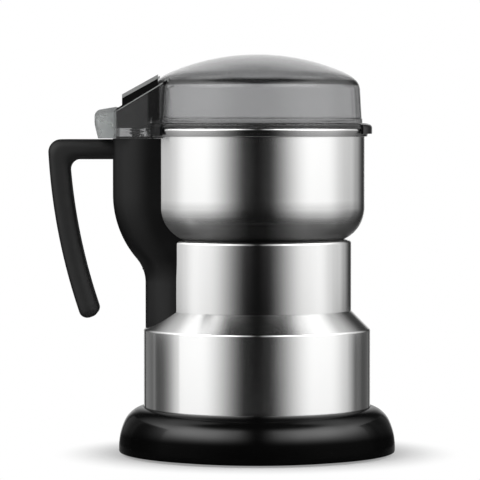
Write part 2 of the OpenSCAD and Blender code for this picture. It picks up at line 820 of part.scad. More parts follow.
// Bent strap across the stack, with its feet on the stack's face at z = 0 and its plate at z = rise
module strap(rise) {
    out = stack_size.y / 2 + strap_lip;
    arm_out = bolt_y - bolt_d;
    rotate([90, 0, 90]) linear_extrude(strap_w, center = true) mirror_x() {
        translate([0, rise]) square([arm_out, strap_t]);
        translate([arm_out - arm_t, 0]) square([arm_t, rise + strap_t]);
        translate([arm_out - arm_t, 0]) square([out - arm_out + arm_t, arm_t]);
    }
}

module upper_bracket() {
    color(steel) translate([0, 0, stack_top]) difference() {
        union() {
            strap(upper_plate_z - stack_top);
            translate([0, 0, upper_plate_z - stack_top]) cylinder(r = hub_r, h = strap_t + hub_h);
        }
        cylinder(r = bush_r + seat_gap, h = 2 * stack_h);
        mirror_y() translate([0, bolt_y, -past]) cylinder(d = bolt_d + 2 * seat_gap, h = arm_t + 2 * past);
    }
}

module lower_bracket() {
    arm = [2 * brush_reach + brush_arm.x, brush_arm.y, strap_t];
    color(black_plastic) difference() {
        union() {
            translate([0, 0, stack_z]) mirror([0, 0, 1]) strap(stack_z - brush_plate_top);
            translate([0, 0, lower_hub_z]) cylinder(r = hub_r, h = hub_h + strap_t);
            translate([-arm.x / 2, -arm.y / 2, brush_plate_z]) cube(arm);
        }
        translate([0, 0, lower_hub_z - past]) cylinder(r = bush_r + seat_gap, h = hub_h + strap_t + 2 * past);
        mirror_y() translate([0, bolt_y, stack_z - arm_t - past])
            cylinder(d = bolt_d + 2 * seat_gap, h = arm_t + 2 * past);
    }
}

module bush(z, h) {
    color(brass) translate([0, 0, z]) difference() {
        cylinder(r = bush_r, h = h);
        translate([0, 0, -past]) cylinder(r = shaft_r + run_gap, h = h + 2 * past);
    }
}

module upper_bush() {
    bush(upper_plate_z, strap_t + hub_h);
}

module lower_bush() {
    bush(lower_hub_z, hub_h + strap_t);
}

module motor_bolts() {
    color(steel) mirror_y() translate([0, bolt_y, stack_z - arm_t]) mirror([0, 0, 1])
        screw(bolt_head, bolt_d, stack_h + 2 * arm_t + bolt_bite);
}

module brush_holders() {
    hole = [brush_reach - brush_start, brush_size.y + 2 * seat_gap, brush_size.z + 2 * seat_gap];
    outer = hole + 2 * brush_wall * [0, 1, 1];
    color(brass) mirror_x() translate([brush_start, 0, brush_z]) difference() {
        translate([0, -outer.y / 2, -outer.z / 2]) cube(outer);
        translate([-brush_wall, -hole.y / 2, -hole.z / 2]) cube(hole);
    }
}

module carbon_brushes() {
    color([0.2, 0.2, 0.22]) mirror_x() difference() {
        translate([commutator_r - past, -brush_size.y / 2, brush_z - brush_size.z / 2])
            cube(brush_size + [past, 0, 0]);
        cylinder(r = commutator_r + run_gap, h = stack_z);
    }
}

module brush_springs() {
    color(steel) mirror_x() translate([brush_spring_start, 0, brush_z]) rotate([0, 90, 0])
        spring(brush_spring_d, brush_wire_d, brush_turns, brush_spring_l);
}

module motor_shaft() {
    color(steel) {
        translate([0, 0, shaft_bottom]) cylinder(r = shaft_r, h = blade_z - shaft_bottom);
        translate([0, 0, blade_z - past]) cylinder(r = tang_r, h = past + blade_t + washer_t + nut_hex_h);
    }
}

module armature_core() {
    color("dimgray") translate([0, 0, stack_z]) linear_extrude(stack_h) difference() {
        circle(armature_r);
        circle(shaft_r + run_gap);
        round_copies(slot_count, slot_r) {
            circle(slot_round);
            translate([0, -slot_w / 2]) square([armature_r, slot_w]);
        }
    }
}

// End turns of the armature, r by rise, with rounded shoulders
module end_turns(rise) {
    inner = shaft_r + winding_inset;
    rotate_extrude() hull() {
        translate([inner, 0]) square([winding_r - inner, past]);
        translate([inner + winding_round, rise - winding_round]) circle(winding_round);
        translate([winding_r - winding_round, rise - winding_round]) circle(winding_round);
    }
}

module armature_windings() {
    color(copper) {
        translate([0, 0, stack_top]) end_turns(winding_rise[1]);
        translate([0, 0, stack_z]) mirror([0, 0, 1]) end_turns(winding_rise[0]);
        round_copies(slot_count, slot_r) translate([0, 0, stack_z - past])
            cylinder(r = slot_round - winding_gap, h = stack_h + 2 * past);
    }
}

module commutator() {
    h = brush_room - winding_rise[0] - 3 * commutator_gap;
    color(copper) translate([0, 0, brush_plate_top + commutator_gap]) linear_extrude(h) difference() {
        circle(commutator_r);
        circle(shaft_r + run_gap);
        round_copies(2 * slot_count, commutator_r) square(commutator_groove, center = true);
    }
}

// Plan of the fan's swept vanes and hub
module fan_plan() {
    sweep_r = fan_d * 0.3;
    low = -90 - vane_turn / 2;
    high = -90 + vane_turn / 2;
    circle(hub_r - fan_margin);
    intersection() {
        circle(fan_d / 2 - fan_margin);
        round_copies(fan_count, fan_d * 0.24) polygon(concat(
            arc([0, sweep_r], sweep_r, low, high, 10),
            arc([0, sweep_r], sweep_r - vane_t, high, low, 10)));
    }
}

module cooling_fan() {
    disc_z = fan_top - fan_disc_t;
    color(white_plastic) difference() {
        union() {
            translate([0, 0, disc_z]) cylinder(d = fan_d, h = fan_disc_t);
            translate([0, 0, disc_z - fan_blade_h]) linear_extrude(fan_blade_h + fan_disc_t / 2) fan_plan();
        }
        translate([0, 0, shaft_bottom]) cylinder(r = shaft_r + run_gap, h = fan_top);
    }
}

// End of a blade arm's underside in side view, for an arm bent up by angle a
function arm_end(a) = [blade_flat, 0] + (blade_span / 2 - blade_flat) * [cos(a), sin(a)];

// Side view of the blade: a flat middle, one arm bent up and one bent down
module blade_side() {
    up = blade_bend[0];
    down = -blade_bend[1];
    polygon([
        [-arm_end(down).x, arm_end(down).y], [-blade_flat, 0], [blade_flat, 0], arm_end(up),
        arm_end(up) + blade_t * [-sin(up), cos(up)], [blade_flat - blade_t * tan(up / 2), blade_t],
        [blade_t * tan(down / 2) - blade_flat, blade_t],
        [-arm_end(down).x, arm_end(down).y] + blade_t * [sin(down), cos(down)]]);
}

// Plan of the blade: a bar with rounded tips, and a round hub
module blade_plan() {
    tip_r = blade_w * 0.3;
    hull() for (side = [0, 180]) rotate(side) translate([blade_span / 2 - tip_r, 0]) {
        translate([0, blade_w / 2 - tip_r]) circle(tip_r, $fn = 32);
        translate([0, tip_r - blade_w * 0.42]) circle(tip_r, $fn = 32);
    }
    circle(blade_hub_r);
}

// What the grinding wheel takes off the upper side of an arm's leading edge
module blade_grind() {
    edge_t = blade_t * 0.3;
    fall = (blade_t - edge_t) / blade_grind_w;
    out = blade_w / 2 + past;
    high = blade_t + fall * past;
    rotate([90, 0, 90]) linear_extrude(blade_span / 2)
        polygon([[blade_w / 2 - blade_grind_w - past, high], [out, edge_t - fall * past], [out, high]]);
}

module blade() {
    color(steel) translate([0, 0, blade_z]) difference() {
        intersection() {
            linear_extrude(blade_span, center = true) blade_plan();
            rotate([90, 0, 0]) linear_extrude(3 * blade_hub_r, center = true) blade_side();
        }
        translate([0, 0, -past]) cylinder(r = tang_r + run_gap, h = blade_t + 2 * past);
        for (side = [0, 1]) rotate(180 * side) translate([blade_flat, 0, 0])
            rotate([0, side == 0 ? -blade_bend[0] : blade_bend[1], 0]) translate([past, 0, 0]) blade_grind();
    }
}

module blade_washer() {
    color(steel) translate([0, 0, blade_top]) difference() {
        cylinder(r = washer_r, h = washer_t);
        translate([0, 0, -past]) cylinder(r = tang_r + run_gap, h = washer_t + 2 * past);
    }
}

module blade_nut() {
    color(steel) translate([0, 0, nut_z]) difference() {
        union() {
            cylinder(d = nut_across / cos(30), h = nut_hex_h, $fn = 6);
            intersection() {
                translate([0, 0, nut_hex_h - nut_dome_sink]) sphere(nut_dome_r);
                translate([0, 0, nut_hex_h / 2]) cylinder(r = nut_across, h = nut_across);
            }
        }
        translate([0, 0, -past]) cylinder(r = tang_r + run_gap, h = nut_hex_h + past + seat_gap);
    }
}

// Plan of the hood, moved in by inset, from the lid's wall out to reach
module hood_plan(inset) {
    half = hood_w / 2 - inset;
    r = hood_corner - inset;
    tip = hood_reach - inset - r;
    polygon([for (p = concat(
        [[lid_wall_r - hood_w / 2 + past, -half]],
        arc([tip, r - half], r, -90, 0, 6),
        arc([tip, half - r], r, 0, 90, 6),
        [[lid_wall_r - hood_w / 2 + past, half]])) [-p.x, p.y]]);
}

// Side view of the hood: sloping side edges, then a flatter roof that rounds over to the leaning end
module hood_side() {
    near = lid_wall_r - hood_w / 2;
    polygon(concat(
        [[near, hood_z], [hood_reach - hood_foot_lean, hood_z], [hood_reach, hood_z + hood_foot_h]],
        arc(roof_c, roof_round, 0, 90 - roof_slope, 5),
        [[key_reach, roof_z], [key_reach, hood_edge(key_reach)], [near, hood_edge(near)]]));
}

module hood() {
    difference() {
        intersection() {
            translate([0, 0, hood_z]) linear_extrude(crown_z - hood_z) hood_plan(0);
            side_plate(hood_w) hood_side();
        }
        intersection() {
            translate([0, 0, hood_z - hood_wall]) linear_extrude(crown_z - hood_z) hood_plan(hood_wall);
            union() {
                side_plate(hood_w) translate([-hood_wall, -lid_t]) hood_side();
                translate([-key_reach, -hood_w / 2, hood_z]) cube([key_reach, hood_w, crown_z]);
            }
        }
    }
    intersection() {
        translate([0, 0, hood_z]) linear_extrude(crown_z - hood_z) hood_plan(hood_wall / 2);
        side_plate(hood_w) hood_side();
        translate([-key_reach - rib_t, -hood_w / 2, hood_z]) cube([rib_t, hood_w, crown_z]);
    }
    intersection() {
        translate([0, 0, hood_z]) linear_extrude(hood_floor_t) hood_plan(hood_wall / 2);
        translate([-key_reach - rib_t / 2, -hood_w / 2, hood_z - past])
            cube([key_reach, hood_w, hood_floor_t + 2 * past]);
    }
}

// Hook that reaches down over the rim, opposite the key
module hook() {
    foot_z = lid_z - hook_h;
    high_z = flange_top - hook_edge;
    intersection() {
        rotate_extrude() polygon(concat(
            [[flange_r - flange_t, lid_z + hook_edge], [flange_r, lid_z + hook_edge], [flange_r, foot_z]],
            arc([lid_r - hook_edge, foot_z + hook_edge], hook_edge, -90, 0, 3),
            arc([lid_r - hook_round, high_z - hook_round], hook_round, 0, 90, 6),
            [[flange_r - flange_t, high_z]]));
        translate([0, -hook_w / 2, foot_z - past]) cube([lid_d, hook_w, lid_h]);
    }
}

module lid_shell() {
    color(smoke) {
        rotate_extrude() polygon(concat(
            dome_points(0),
            arc([flange_r - flange_round, flange_top - flange_round], flange_round, 90, 0, 5),
            [[flange_r, lid_z], [collar_r, lid_z]],
            [[collar_r, lid_z - collar_h], [collar_r - collar_t, lid_z - collar_h]],
            [[collar_r - collar_t, lid_z]],
            reversed(dome_points(lid_t))));
        hook();
        difference() {
            hood();
            translate([0, 0, hood_z - past])
                cylinder(r = lid_r - hook_t / 2, h = lid_z - hood_z + past + flange_t / 2);
            cylinder(r = lid_wall_r - lid_t / 2, h = crown_z);
            translate([-pin_u, 0, hood_z - past])
                cylinder(r = press_pin_r + pin_hole_gap, h = hood_floor_t + 2 * past);
        }
    }
}

module press_key() {
    half = hood_w / 2 - hood_wall - move_gap;
    reach = key_reach - move_gap;
    near = lid_wall_r - hood_w / 2;
    plate_low = key_rise - past;
    hollow_top = key_rise - key_deck_t;
    color(black_plastic) difference() {
        union() {
            difference() {
                side_plate(2 * half) polygon([[near, key_skirt_z], [reach, key_skirt_z],
                    [reach, hood_edge(reach) + key_rise], [near, hood_edge(near) + key_rise]]);
                side_plate(2 * (half - key_wall)) polygon([[near - past, key_skirt_z - past],
                    [reach - key_wall, key_skirt_z - past], [reach - key_wall, hood_edge(reach) + hollow_top],
                    [near - past, hood_edge(near - past) + hollow_top]]);
            }
            side_plate(2 * (half - key_plate_inset)) polygon([
                [key_top_near, hood_edge(key_top_near) + plate_low],
                [key_top_reach, hood_edge(key_top_reach) + plate_low],
                [key_top_reach, key_top(key_top_reach)], [key_top_near, key_top(key_top_near)]]);
            translate([-pin_u, 0, pin_tip_z])
                cylinder(r = press_pin_r, h = key_under(pin_u) - pin_tip_z);
            mirror_y() translate([-spring_at.x, spring_at.y, 0]) {
                translate([0, 0, spring_seat_z])
                    cylinder(d = spring_seat_d, h = key_under(spring_at.x) - spring_seat_z);
                translate([0, 0, spring_seat_z - spring_peg_h])
                    cylinder(r = key_spring_d / 2 - key_wire_d - 2 * move_gap, h = spring_peg_h + past);
            }
        }
        cylinder(r = key_clear_r, h = 2 * crown_z);
        difference() {
            cylinder(r = lid_r + move_gap, h = flange_clear_z);
            translate([-pin_u, 0, 0]) cylinder(r = press_pin_r + run_gap, h = crown_z);
        }
    }
}

module key_cap() {
    half = hood_w / 2 - hood_wall - move_gap - key_plate_inset;
    rise = key_cap_t / cos(key_slope);
    color(smoke) difference() {
        side_plate(2 * half) polygon([
            [key_top_near, key_top(key_top_near)], [key_top_reach, key_top(key_top_reach)],
            [key_top_reach, key_top(key_top_reach) + rise], [key_top_near, key_top(key_top_near) + rise]]);
        cylinder(r = key_clear_r, h = 2 * crown_z);
    }
}

module key_springs() {
    color(steel) mirror_y() translate([-spring_at.x, spring_at.y, hood_floor_top])
        spring(key_spring_d, key_wire_d, key_turns, key_spring_l);
}

// Column between two heights, drawn in by inset
module column(low, high, inset = 0) {
    loft([for (z = column_levels(low, high)) column_ring(z, inset)]);
}

module grip() {
    out_c = grip_c + (grip_out_r - grip_corner[0]) * [cos(grip_lean), -sin(grip_lean)];
    in_z = bar_z - grip_corner[1];
    in_lean = asin((grip_c.y - in_z) / (grip_in_r - grip_corner[1]));
    in_c = [grip_c.x + (grip_in_r - grip_corner[1]) * cos(in_lean), in_z];
    end_lean = asin((grip_c.y - grip_z) / grip_r);
    bulge_lean = grip_bulge / grip_r * 180 / PI;
    foot_lean = end_lean - bulge_lean;
    corner_steps = 8;
    arc_steps = 12;
    end_steps = 5;
    loft(concat(
        [grip_ring([column_x - handle_wall * 0.8, handle_top], [column_x - handle_wall * 0.8, bar_z])],
        [for (i = [0 : corner_steps]) let (s = i / corner_steps) grip_ring(
            out_c + grip_corner[0] * [cos(90 - s * (90 + grip_lean)), sin(90 - s * (90 + grip_lean))],
            in_c + grip_corner[1] * [cos(90 - s * (90 + in_lean)), sin(90 - s * (90 + in_lean))])],
        [for (i = [1 : arc_steps]) let (s = i / arc_steps) grip_arc_ring(
            grip_lean + s * (foot_lean - grip_lean), in_lean + s * (foot_lean - in_lean))],
        [for (i = [1 : end_steps]) let (a = 80 * i / end_steps) grip_arc_ring(
            foot_lean + bulge_lean * sin(a) / sin(80), foot_lean + bulge_lean * sin(a) / sin(80),
            grip_t / 2 * (1 - cos(a)) * 0.9)]));
}

// The two axes of the switch's screws, outwards from distance u
module switch_screw_axes(u) {
    for (y = [-1, 1]) translate([-u, y * switch_pitch / 2, switch_z + switch_size.z / 2])
        outwards() children();
}

module handle() {
    boss_r = switch_screw[1] / 2 + switch_boss_wall;
    color(black_plastic) difference() {
        union() {
            difference() {
                union() {
                    column(column_z, handle_top);
                    grip();
                }
                column(column_z + handle_wall, handle_top - roof_t, handle_wall);
            }
            intersection() {
                column(column_z + past, handle_top - past, handle_wall / 2);
                translate([-column_x, -handle_w / 2, shelf_top - shelf_t])
                    cube([column_x - column_back, handle_w, shelf_t]);
            }
            switch_screw_axes(pin_u + switch_size.x / 2)
                cylinder(r = boss_r, h = column_x - handle_wall / 2 - pin_u - switch_size.x / 2);
            for (z = handle_screw_z) translate([-column_back, 0, z]) outwards()
                cylinder(r = handle_boss_r, h = column_face(z) - handle_wall / 2 - column_back);
        }
        rotate_extrude() polygon(shell_points(-handle_gap));
        rotate_extrude() polygon(bowl_points(-handle_gap));
        translate([-pin_u, 0, shelf_top - shelf_t - past]) cylinder(r = pin_r + run_gap, h = handle_top);
        switch_screw_axes(column_back)
            cylinder(d = switch_screw[0] + 2 * seat_gap, h = column_x - handle_wall - column_back);
        for (z = handle_screw_z) translate([-column_back, 0, z]) outwards()
            cylinder(d = handle_screw_d + 2 * seat_gap, h = column_face(z) - handle_wall - column_back);
    }
}

module handle_screws() {
    inner_r = neck_r - sheet;
    seat_x = sqrt(inner_r ^ 2 - (handle_screw_head[0] / 2) ^ 2);
    color(steel) for (z = handle_screw_z) translate([-seat_x, 0, z]) rotate([0, 90, 0])
        screw(handle_screw_head, handle_screw_d, column_face(z) - handle_wall - seat_x - 2 * seat_gap);
}

module interlock_pin() {
    collar_z = pin_collar_top - pin_collar[1];
    cone_h = pin_r - pin_tip_r;
    color(white_plastic) translate([-pin_u, 0, 0]) {
        translate([0, 0, pin_end_z + cone_h]) cylinder(r = pin_r, h = handle_top - pin_end_z - cone_h);
        translate([0, 0, pin_end_z]) cylinder(r1 = pin_tip_r, r2 = pin_r, h = cone_h);
        translate([0, 0, collar_z]) cylinder(r = pin_collar[0], h = pin_collar[1]);
    }
}

module interlock_spring() {
    color(steel) translate([-pin_u, 0, shelf_top])
        spring(interlock_d, interlock_wire_d, interlock_turns, interlock_l);
}

module switch_body() {
    ear_h = lever_z + lever_rod_r + lever_ear - switch_z;
    color([0.1, 0.1, 0.12]) difference() {
        union() {
            translate([-pin_u - switch_size.x / 2, -switch_size.y / 2, switch_z]) cube(switch_size);
            translate([-pin_u, lever_y, switch_z + ear_h / 2]) mirror_x()
                translate([(switch_size.x - ear_t) / 2, 0, 0]) cube([ear_t, ear_w, ear_h], center = true);
        }
        switch_screw_axes(column_back) cylinder(d = switch_screw[0] + 2 * seat_gap, h = column_x);
        translate([-column_back, lever_y, lever_z]) outwards()
            cylinder(r = lever_rod_r + run_gap, h = column_x);
        translate([-pin_u, button_y, switch_top - button_depth])
            cylinder(r = button_r + run_gap, h = switch_size.z);
    }
}

module switch_terminals() {
    color(brass) for (y = [-1, 0, 1]) translate([-pin_u, y * terminal_pitch, switch_z - terminal.z / 2])
        cube(terminal, center = true);
}

module switch_lever() {
    rod_l = switch_size.x;
    color(steel) translate([-pin_u, lever_y, lever_z]) {
        rotate([0, 90, 0]) cylinder(r = lever_rod_r, h = rod_l, center = true);
        rotate([-lever_rest, 0, 0]) translate([-lever_w / 2, -lever_l, -lever_t / 2])
            cube([lever_w, lever_l, lever_t]);
    }
}

module switch_button() {
    travel = key_travel / 5;
    bottom = switch_top - button_depth + travel + move_gap;
    color([0.7, 0.1, 0.1]) translate([-pin_u, button_y, bottom])
        cylinder(r = button_r, h = button_top - bottom);
}

module switch_screws() {
    head = [switch_screw[1], switch_screw[2]];
    color(steel) switch_screw_axes(pin_u - switch_size.x / 2) mirror([0, 0, 1])
        screw(head, switch_screw[0], switch_size.x + switch_screw_bite);
}

echo("least gap of a key spring to itself, mm",
    spring_gap((key_spring_d - key_wire_d) / 2, key_wire_d, key_turns, key_spring_l));
echo("least gap of the interlock spring to itself, mm",
    spring_gap((interlock_d - interlock_wire_d) / 2, interlock_wire_d, interlock_turns, interlock_l));
echo("least gap of a brush spring to itself, mm",
    spring_gap((brush_spring_d - brush_wire_d) / 2, brush_wire_d, brush_turns, brush_spring_l));

base_ring();
bottom_cover();
foot_ring();
cover_screws();
shell_screws();
cord_gland();
body_shell();
bowl_seat();
bowl();
bowl_screws();
shaft_seal();
field_core();
field_coils();
upper_bracket();
lower_bracket();
upper_bush();
lower_bush();
motor_bolts();
brush_holders();
carbon_brushes();
brush_springs();
motor_shaft();
armature_core();
armature_windings();
commutator();
cooling_fan();
blade();
blade_washer();
blade_nut();
lid_shell();
press_key();
key_cap();
key_springs();
handle();
handle_screws();
interlock_pin();
interlock_spring();
switch_body();
switch_terminals();
switch_lever();
switch_button();
switch_screws();
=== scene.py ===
"""Looks of an electric coffee grinder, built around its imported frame. Metres, +Z up, -X to the handle."""
import json
import math

import bmesh
import bpy
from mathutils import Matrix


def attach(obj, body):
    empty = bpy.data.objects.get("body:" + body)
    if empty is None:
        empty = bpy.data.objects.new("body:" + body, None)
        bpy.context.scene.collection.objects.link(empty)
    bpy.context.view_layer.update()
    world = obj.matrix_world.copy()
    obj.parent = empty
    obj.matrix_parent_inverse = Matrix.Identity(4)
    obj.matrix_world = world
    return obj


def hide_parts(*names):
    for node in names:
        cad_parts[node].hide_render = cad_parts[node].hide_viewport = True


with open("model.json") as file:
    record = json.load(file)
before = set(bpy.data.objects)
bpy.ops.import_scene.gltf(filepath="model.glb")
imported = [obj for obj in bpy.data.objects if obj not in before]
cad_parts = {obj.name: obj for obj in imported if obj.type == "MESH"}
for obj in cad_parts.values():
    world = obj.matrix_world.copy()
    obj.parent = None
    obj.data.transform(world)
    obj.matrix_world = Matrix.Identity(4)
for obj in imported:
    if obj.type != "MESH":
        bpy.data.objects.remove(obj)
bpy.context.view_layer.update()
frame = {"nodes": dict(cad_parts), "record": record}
scene = bpy.context.scene
scene.view_settings.view_transform = "Standard"
MM = 0.001
WHITE = (1, 1, 1, 1)

# Camera: level with the bowl's rim, a little left of the axis and tilted slightly down
CAMERA_AT, CAMERA_TILT, CAMERA_LENS, CAMERA_SENSOR = (-0.0085, -1.55, 0.162), 2.03, 232.5, 36
camera_data = bpy.data.cameras.new("camera")
camera_data.sensor_width = CAMERA_SENSOR
camera_data.lens = CAMERA_LENS
camera = bpy.data.objects.new("camera", camera_data)
camera.location = CAMERA_AT
camera.rotation_euler = (math.radians(90 - CAMERA_TILT), 0, 0)
scene.collection.objects.link(camera)
scene.camera = camera


# Node helpers
class Graph:
    """A node tree with short calls for adding and linking nodes."""

    def __init__(self, tree):
        self.tree = tree

    def add(self, kind, inputs=None, **values):
        node = self.tree.nodes.new("ShaderNode" + kind)
        for key, value in values.items():
            setattr(node, key, value)
        for key, value in (inputs or {}).items():
            if isinstance(value, bpy.types.NodeSocket):
                self.tree.links.new(value, node.inputs[key])
            else:
                node.inputs[key].default_value = value
        return node

    def math(self, operation, a, b=0.0, c=0.0):
        return self.add("Math", {0: a, 1: b, 2: c}, operation=operation).outputs[0]

    def fold(self, operation, first, *others):
        """One operation over several values in turn."""
        for other in others:
            first = self.math(operation, first, other)
        return first

    def fit(self, value, low, high, to_low=0.0, to_high=1.0, smooth=False):
        kind = "SMOOTHSTEP" if smooth else "LINEAR"
        inputs = {0: value, 1: low, 2: high, 3: to_low, 4: to_high}
        return self.add("MapRange", inputs, interpolation_type=kind).outputs[0]

    def hump(self, value, rise, fall, peak=1.0, smooth=False):
        """Nothing before the rise, the peak after it, and nothing after the fall."""
        return self.math("MULTIPLY", self.fit(value, *rise, 0.0, peak, smooth),
                         self.fit(value, *fall, 1.0, 0.0, smooth))

    def bell(self, value, middle, width):
        """One at the middle, falling off softly to both sides."""
        off = self.math("DIVIDE", self.math("SUBTRACT", value, middle), width)
        return self.math("EXPONENT", self.math("MULTIPLY", self.math("POWER", off, 2.0), -1.0))

    def plan(self, value, low, high, stops, ease="EASE"):
        """A level that follows stops of value and level, between a low and a high value."""
        node = self.add("ValToRGB", {0: self.fit(value, low, high)})
        node.color_ramp.interpolation = ease
        points = node.color_ramp.elements
        while len(points) < len(stops):
            points.new(0.5)
        for point, (place, level) in zip(points, stops):
            point.position = (place - low) / (high - low)
            point.color = (level, level, level, 1)
        return node.outputs[0]


class Finish(Graph):
    """A procedural material with one Principled surface."""

    def __init__(self, name, color, rough, metal=0.0, **sockets):
        self.name, self.color, self.rough = name, color, rough
        self.material = bpy.data.materials.new(name)
        self.material.use_nodes = True
        super().__init__(self.material.node_tree)
        self.surface = self.tree.nodes["Principled BSDF"]
        values = {"base_color": (*color, 1), "roughness": rough, "metallic": metal, **sockets}
        for key, value in values.items():
            self.surface.inputs[key.replace("_", " ").title().replace("Ior", "IOR")].default_value = value
        self.place = self.add("TexCoord").outputs["Object"]

    def link(self, value, socket):
        self.tree.links.new(value, self.surface.inputs[socket])
        return self

    def send(self, value, socket="Surface"):
        self.tree.links.new(value, self.tree.nodes["Material Output"].inputs[socket])
        return self

    def spot(self):
        """The place on the object along x, y and z, in millimetres."""
        scaled = self.add("VectorMath", {0: self.place, "Scale": 1 / MM}, operation="SCALE").outputs[0]
        return self.add("SeparateXYZ", {0: scaled}).outputs

    def upward(self):
        """How far the surface looks up, from -1 to 1."""
        return self.add("SeparateXYZ", {0: self.add("NewGeometry").outputs["Normal"]}).outputs[2]

    def noise(self, scale, stretch=(1, 1, 1), detail=3.0, distortion=0.0):
        spread = self.add("Mapping", {"Vector": self.place, "Scale": stretch}).outputs[0]
        node = self.add("TexNoise", {"Vector": spread, "Scale": scale, "Detail": detail, "Distortion": distortion})
        return node.outputs["Fac"]

    def layers(self, scale, distortion=0.0):
        """Level stripes, one above the other."""
        inputs = {"Vector": self.place, "Scale": scale, "Distortion": distortion}
        return self.add("TexWave", inputs, bands_direction="Z").outputs["Fac"]

    def vary_rough(self, value, spread):
        return self.link(self.fit(value, 0.25, 0.75, self.rough - spread, self.rough + spread), "Roughness")

    def vary_color(self, value, other, low=0.0, high=1.0):
        mix = self.add("Mix", {"Factor": self.fit(value, low, high)}, data_type="RGBA")
        mix.inputs["A"].default_value = (*self.color, 1)
        mix.inputs["B"].default_value = (*other, 1)
        return self.link(mix.outputs["Result"], "Base Color")

    def bump(self, value, depth, strength):
        node = self.add("Bump", {"Height": value, "Distance": depth * MM, "Strength": strength})
        return self.link(node.outputs[0], "Normal")

    def turned(self):
        return self.link(self.add("Tangent", direction_type="RADIAL", axis="Z").outputs[0], "Tangent")


# Studio, alike at left and right: tall soft panels in front with two brighter bands high on them, weaker lights
# overhead and behind the sides, and a white backdrop. Turns go from the front to the back, and heights are angles.
PANEL, BAND, BROW, TOP, AMBIENT = 1.17, 3.0, 1.4, 1.15, 0.005
BAND_AT, BAND_WIDTH, BROW_AT, BROW_WIDTH = 31.0, 13.0, 48.0, 8.0
FRONT, BACK, DOWN, UP = 0, 180, -90, 90
WALL_TURNS = ((11, 0.0), (60, 1.0), (78, 1.0), (118, 0.34), (132, 0.12), (150, 0.03))
WALL_HEIGHTS = ((-80, 0.03), (-52, 0.085), (-35, 0.18), (-19, 0.39), (-9, 0.62), (-4, 1.0))
BAND_TURNS = ((0, 0.0), (12, 0.3), (24, 0.7), (40, 1.0), (64, 0.95), (95, 0.45), (125, 0.08), (140, 0.03), (152, 0.0))
BROW_TURNS = ((4, 0.0), (12, 0.3), (22, 0.72), (42, 1.0), (78, 0.9), (104, 0.0))
WING_TURNS = ((96, 0.0), (104, 0.14), (112, 0.27), (124, 0.34), (134, 0.3), (144, 0.1), (152, 0.0))
WALL_END, WING_RISE, WING_FALL = (40, 56), (-4.4, -2.4), (46, 58)
TOP_RISE, TOP_FALL, TOP_SIDE = (80, 108), (130, 150), (0.2, 0.4)
BACKDROP_TURNS, BACKDROP_END = (160, 174), (30, 50)
PAPER_TURNS, PAPER_END = (112, 140), (22, 44)
world = bpy.data.worlds.new("studio")
scene.world = world
world.use_nodes = True
sky = Graph(world.node_tree)
direction = sky.add("SeparateXYZ", {0: sky.add("TexCoord").outputs["Generated"]}).outputs
side = sky.math("ABSOLUTE", direction[0])
turn = sky.math("DEGREES", sky.math("ARCTAN2", side, sky.math("MULTIPLY", direction[1], -1)))
height = sky.math("DEGREES", sky.math("ARCSINE", direction[2]))
walls = sky.fold("MULTIPLY", sky.plan(turn, FRONT, BACK, WALL_TURNS), sky.plan(height, DOWN, UP, WALL_HEIGHTS),
                 sky.fit(height, *WALL_END, PANEL, 0.0, True))
bands = sky.fold("MULTIPLY", sky.plan(turn, FRONT, BACK, BAND_TURNS), sky.bell(height, BAND_AT, BAND_WIDTH), BAND)
brows = sky.fold("MULTIPLY", sky.plan(turn, FRONT, BACK, BROW_TURNS), sky.bell(height, BROW_AT, BROW_WIDTH), BROW)
tops = sky.fold("MULTIPLY", sky.hump(turn, TOP_RISE, TOP_FALL, TOP, True), sky.fit(side, *TOP_SIDE, smooth=True),
                sky.fit(height, *WALL_END, smooth=True))
wings = sky.math("MULTIPLY", sky.plan(turn, FRONT, BACK, WING_TURNS),
                 sky.hump(height, WING_RISE, WING_FALL, smooth=True))
backdrop = sky.math("MULTIPLY", sky.fit(turn, *BACKDROP_TURNS, smooth=True),
                    sky.fit(height, *BACKDROP_END, 1.0, 0.0, True))
lit = sky.fold("ADD", walls, bands, brows, tops, wings)
glow = sky.math("ADD", sky.math("MAXIMUM", lit, backdrop), AMBIENT)
studio = sky.add("Background", {"Strength": glow, "Color": WHITE})

# White paper takes the studio's place for the camera, and for what is seen through the lid against the back
paper = sky.add("Background", {"Strength": 1.0, "Color": WHITE})
light_path = sky.add("LightPath").outputs
through = sky.fold("MULTIPLY", light_path["Is Transmission Ray"], sky.fit(turn, *PAPER_TURNS, smooth=True),
                   sky.fit(sky.math("ABSOLUTE", height), *PAPER_END, 1.0, 0.0, True))
seen = sky.math("MAXIMUM", light_path["Is Camera Ray"], through)
chosen = sky.add("MixShader", {0: seen, 1: studio.outputs[0], 2: paper.outputs[0]})
world.node_tree.links.new(chosen.outputs[0], world.node_tree.nodes["World Output"].inputs["Surface"])

# Mesh helpers, in millimetres. A cutter goes past what it cuts.
PAST, MERGE, LATHE_STEPS, ROD_STEPS, SHARP = 1.0, 0.002, 180, 64, 30.0


def arc(c, r, start, end, steps=12):
    angles = (math.radians(start + (end - start) * i / steps) for i in range(steps + 1))
    return [(c[0] + r * math.cos(a), c[1] + r * math.sin(a)) for a in angles]


def solid(verts, faces):
    """A closed mesh to cut, join or finish."""
    mesh = bpy.data.meshes.new("solid")
    mesh.from_pydata([tuple(c * MM for c in v) for v in verts], [], faces)
    tidy = bmesh.new()
    tidy.from_mesh(mesh)
    bmesh.ops.remove_doubles(tidy, verts=tidy.verts, dist=MERGE * MM)
    bmesh.ops.recalc_face_normals(tidy, faces=tidy.faces)
    tidy.to_mesh(mesh)
    tidy.free()
    item = bpy.data.objects.new("solid", mesh)
    scene.collection.objects.link(item)
    return item


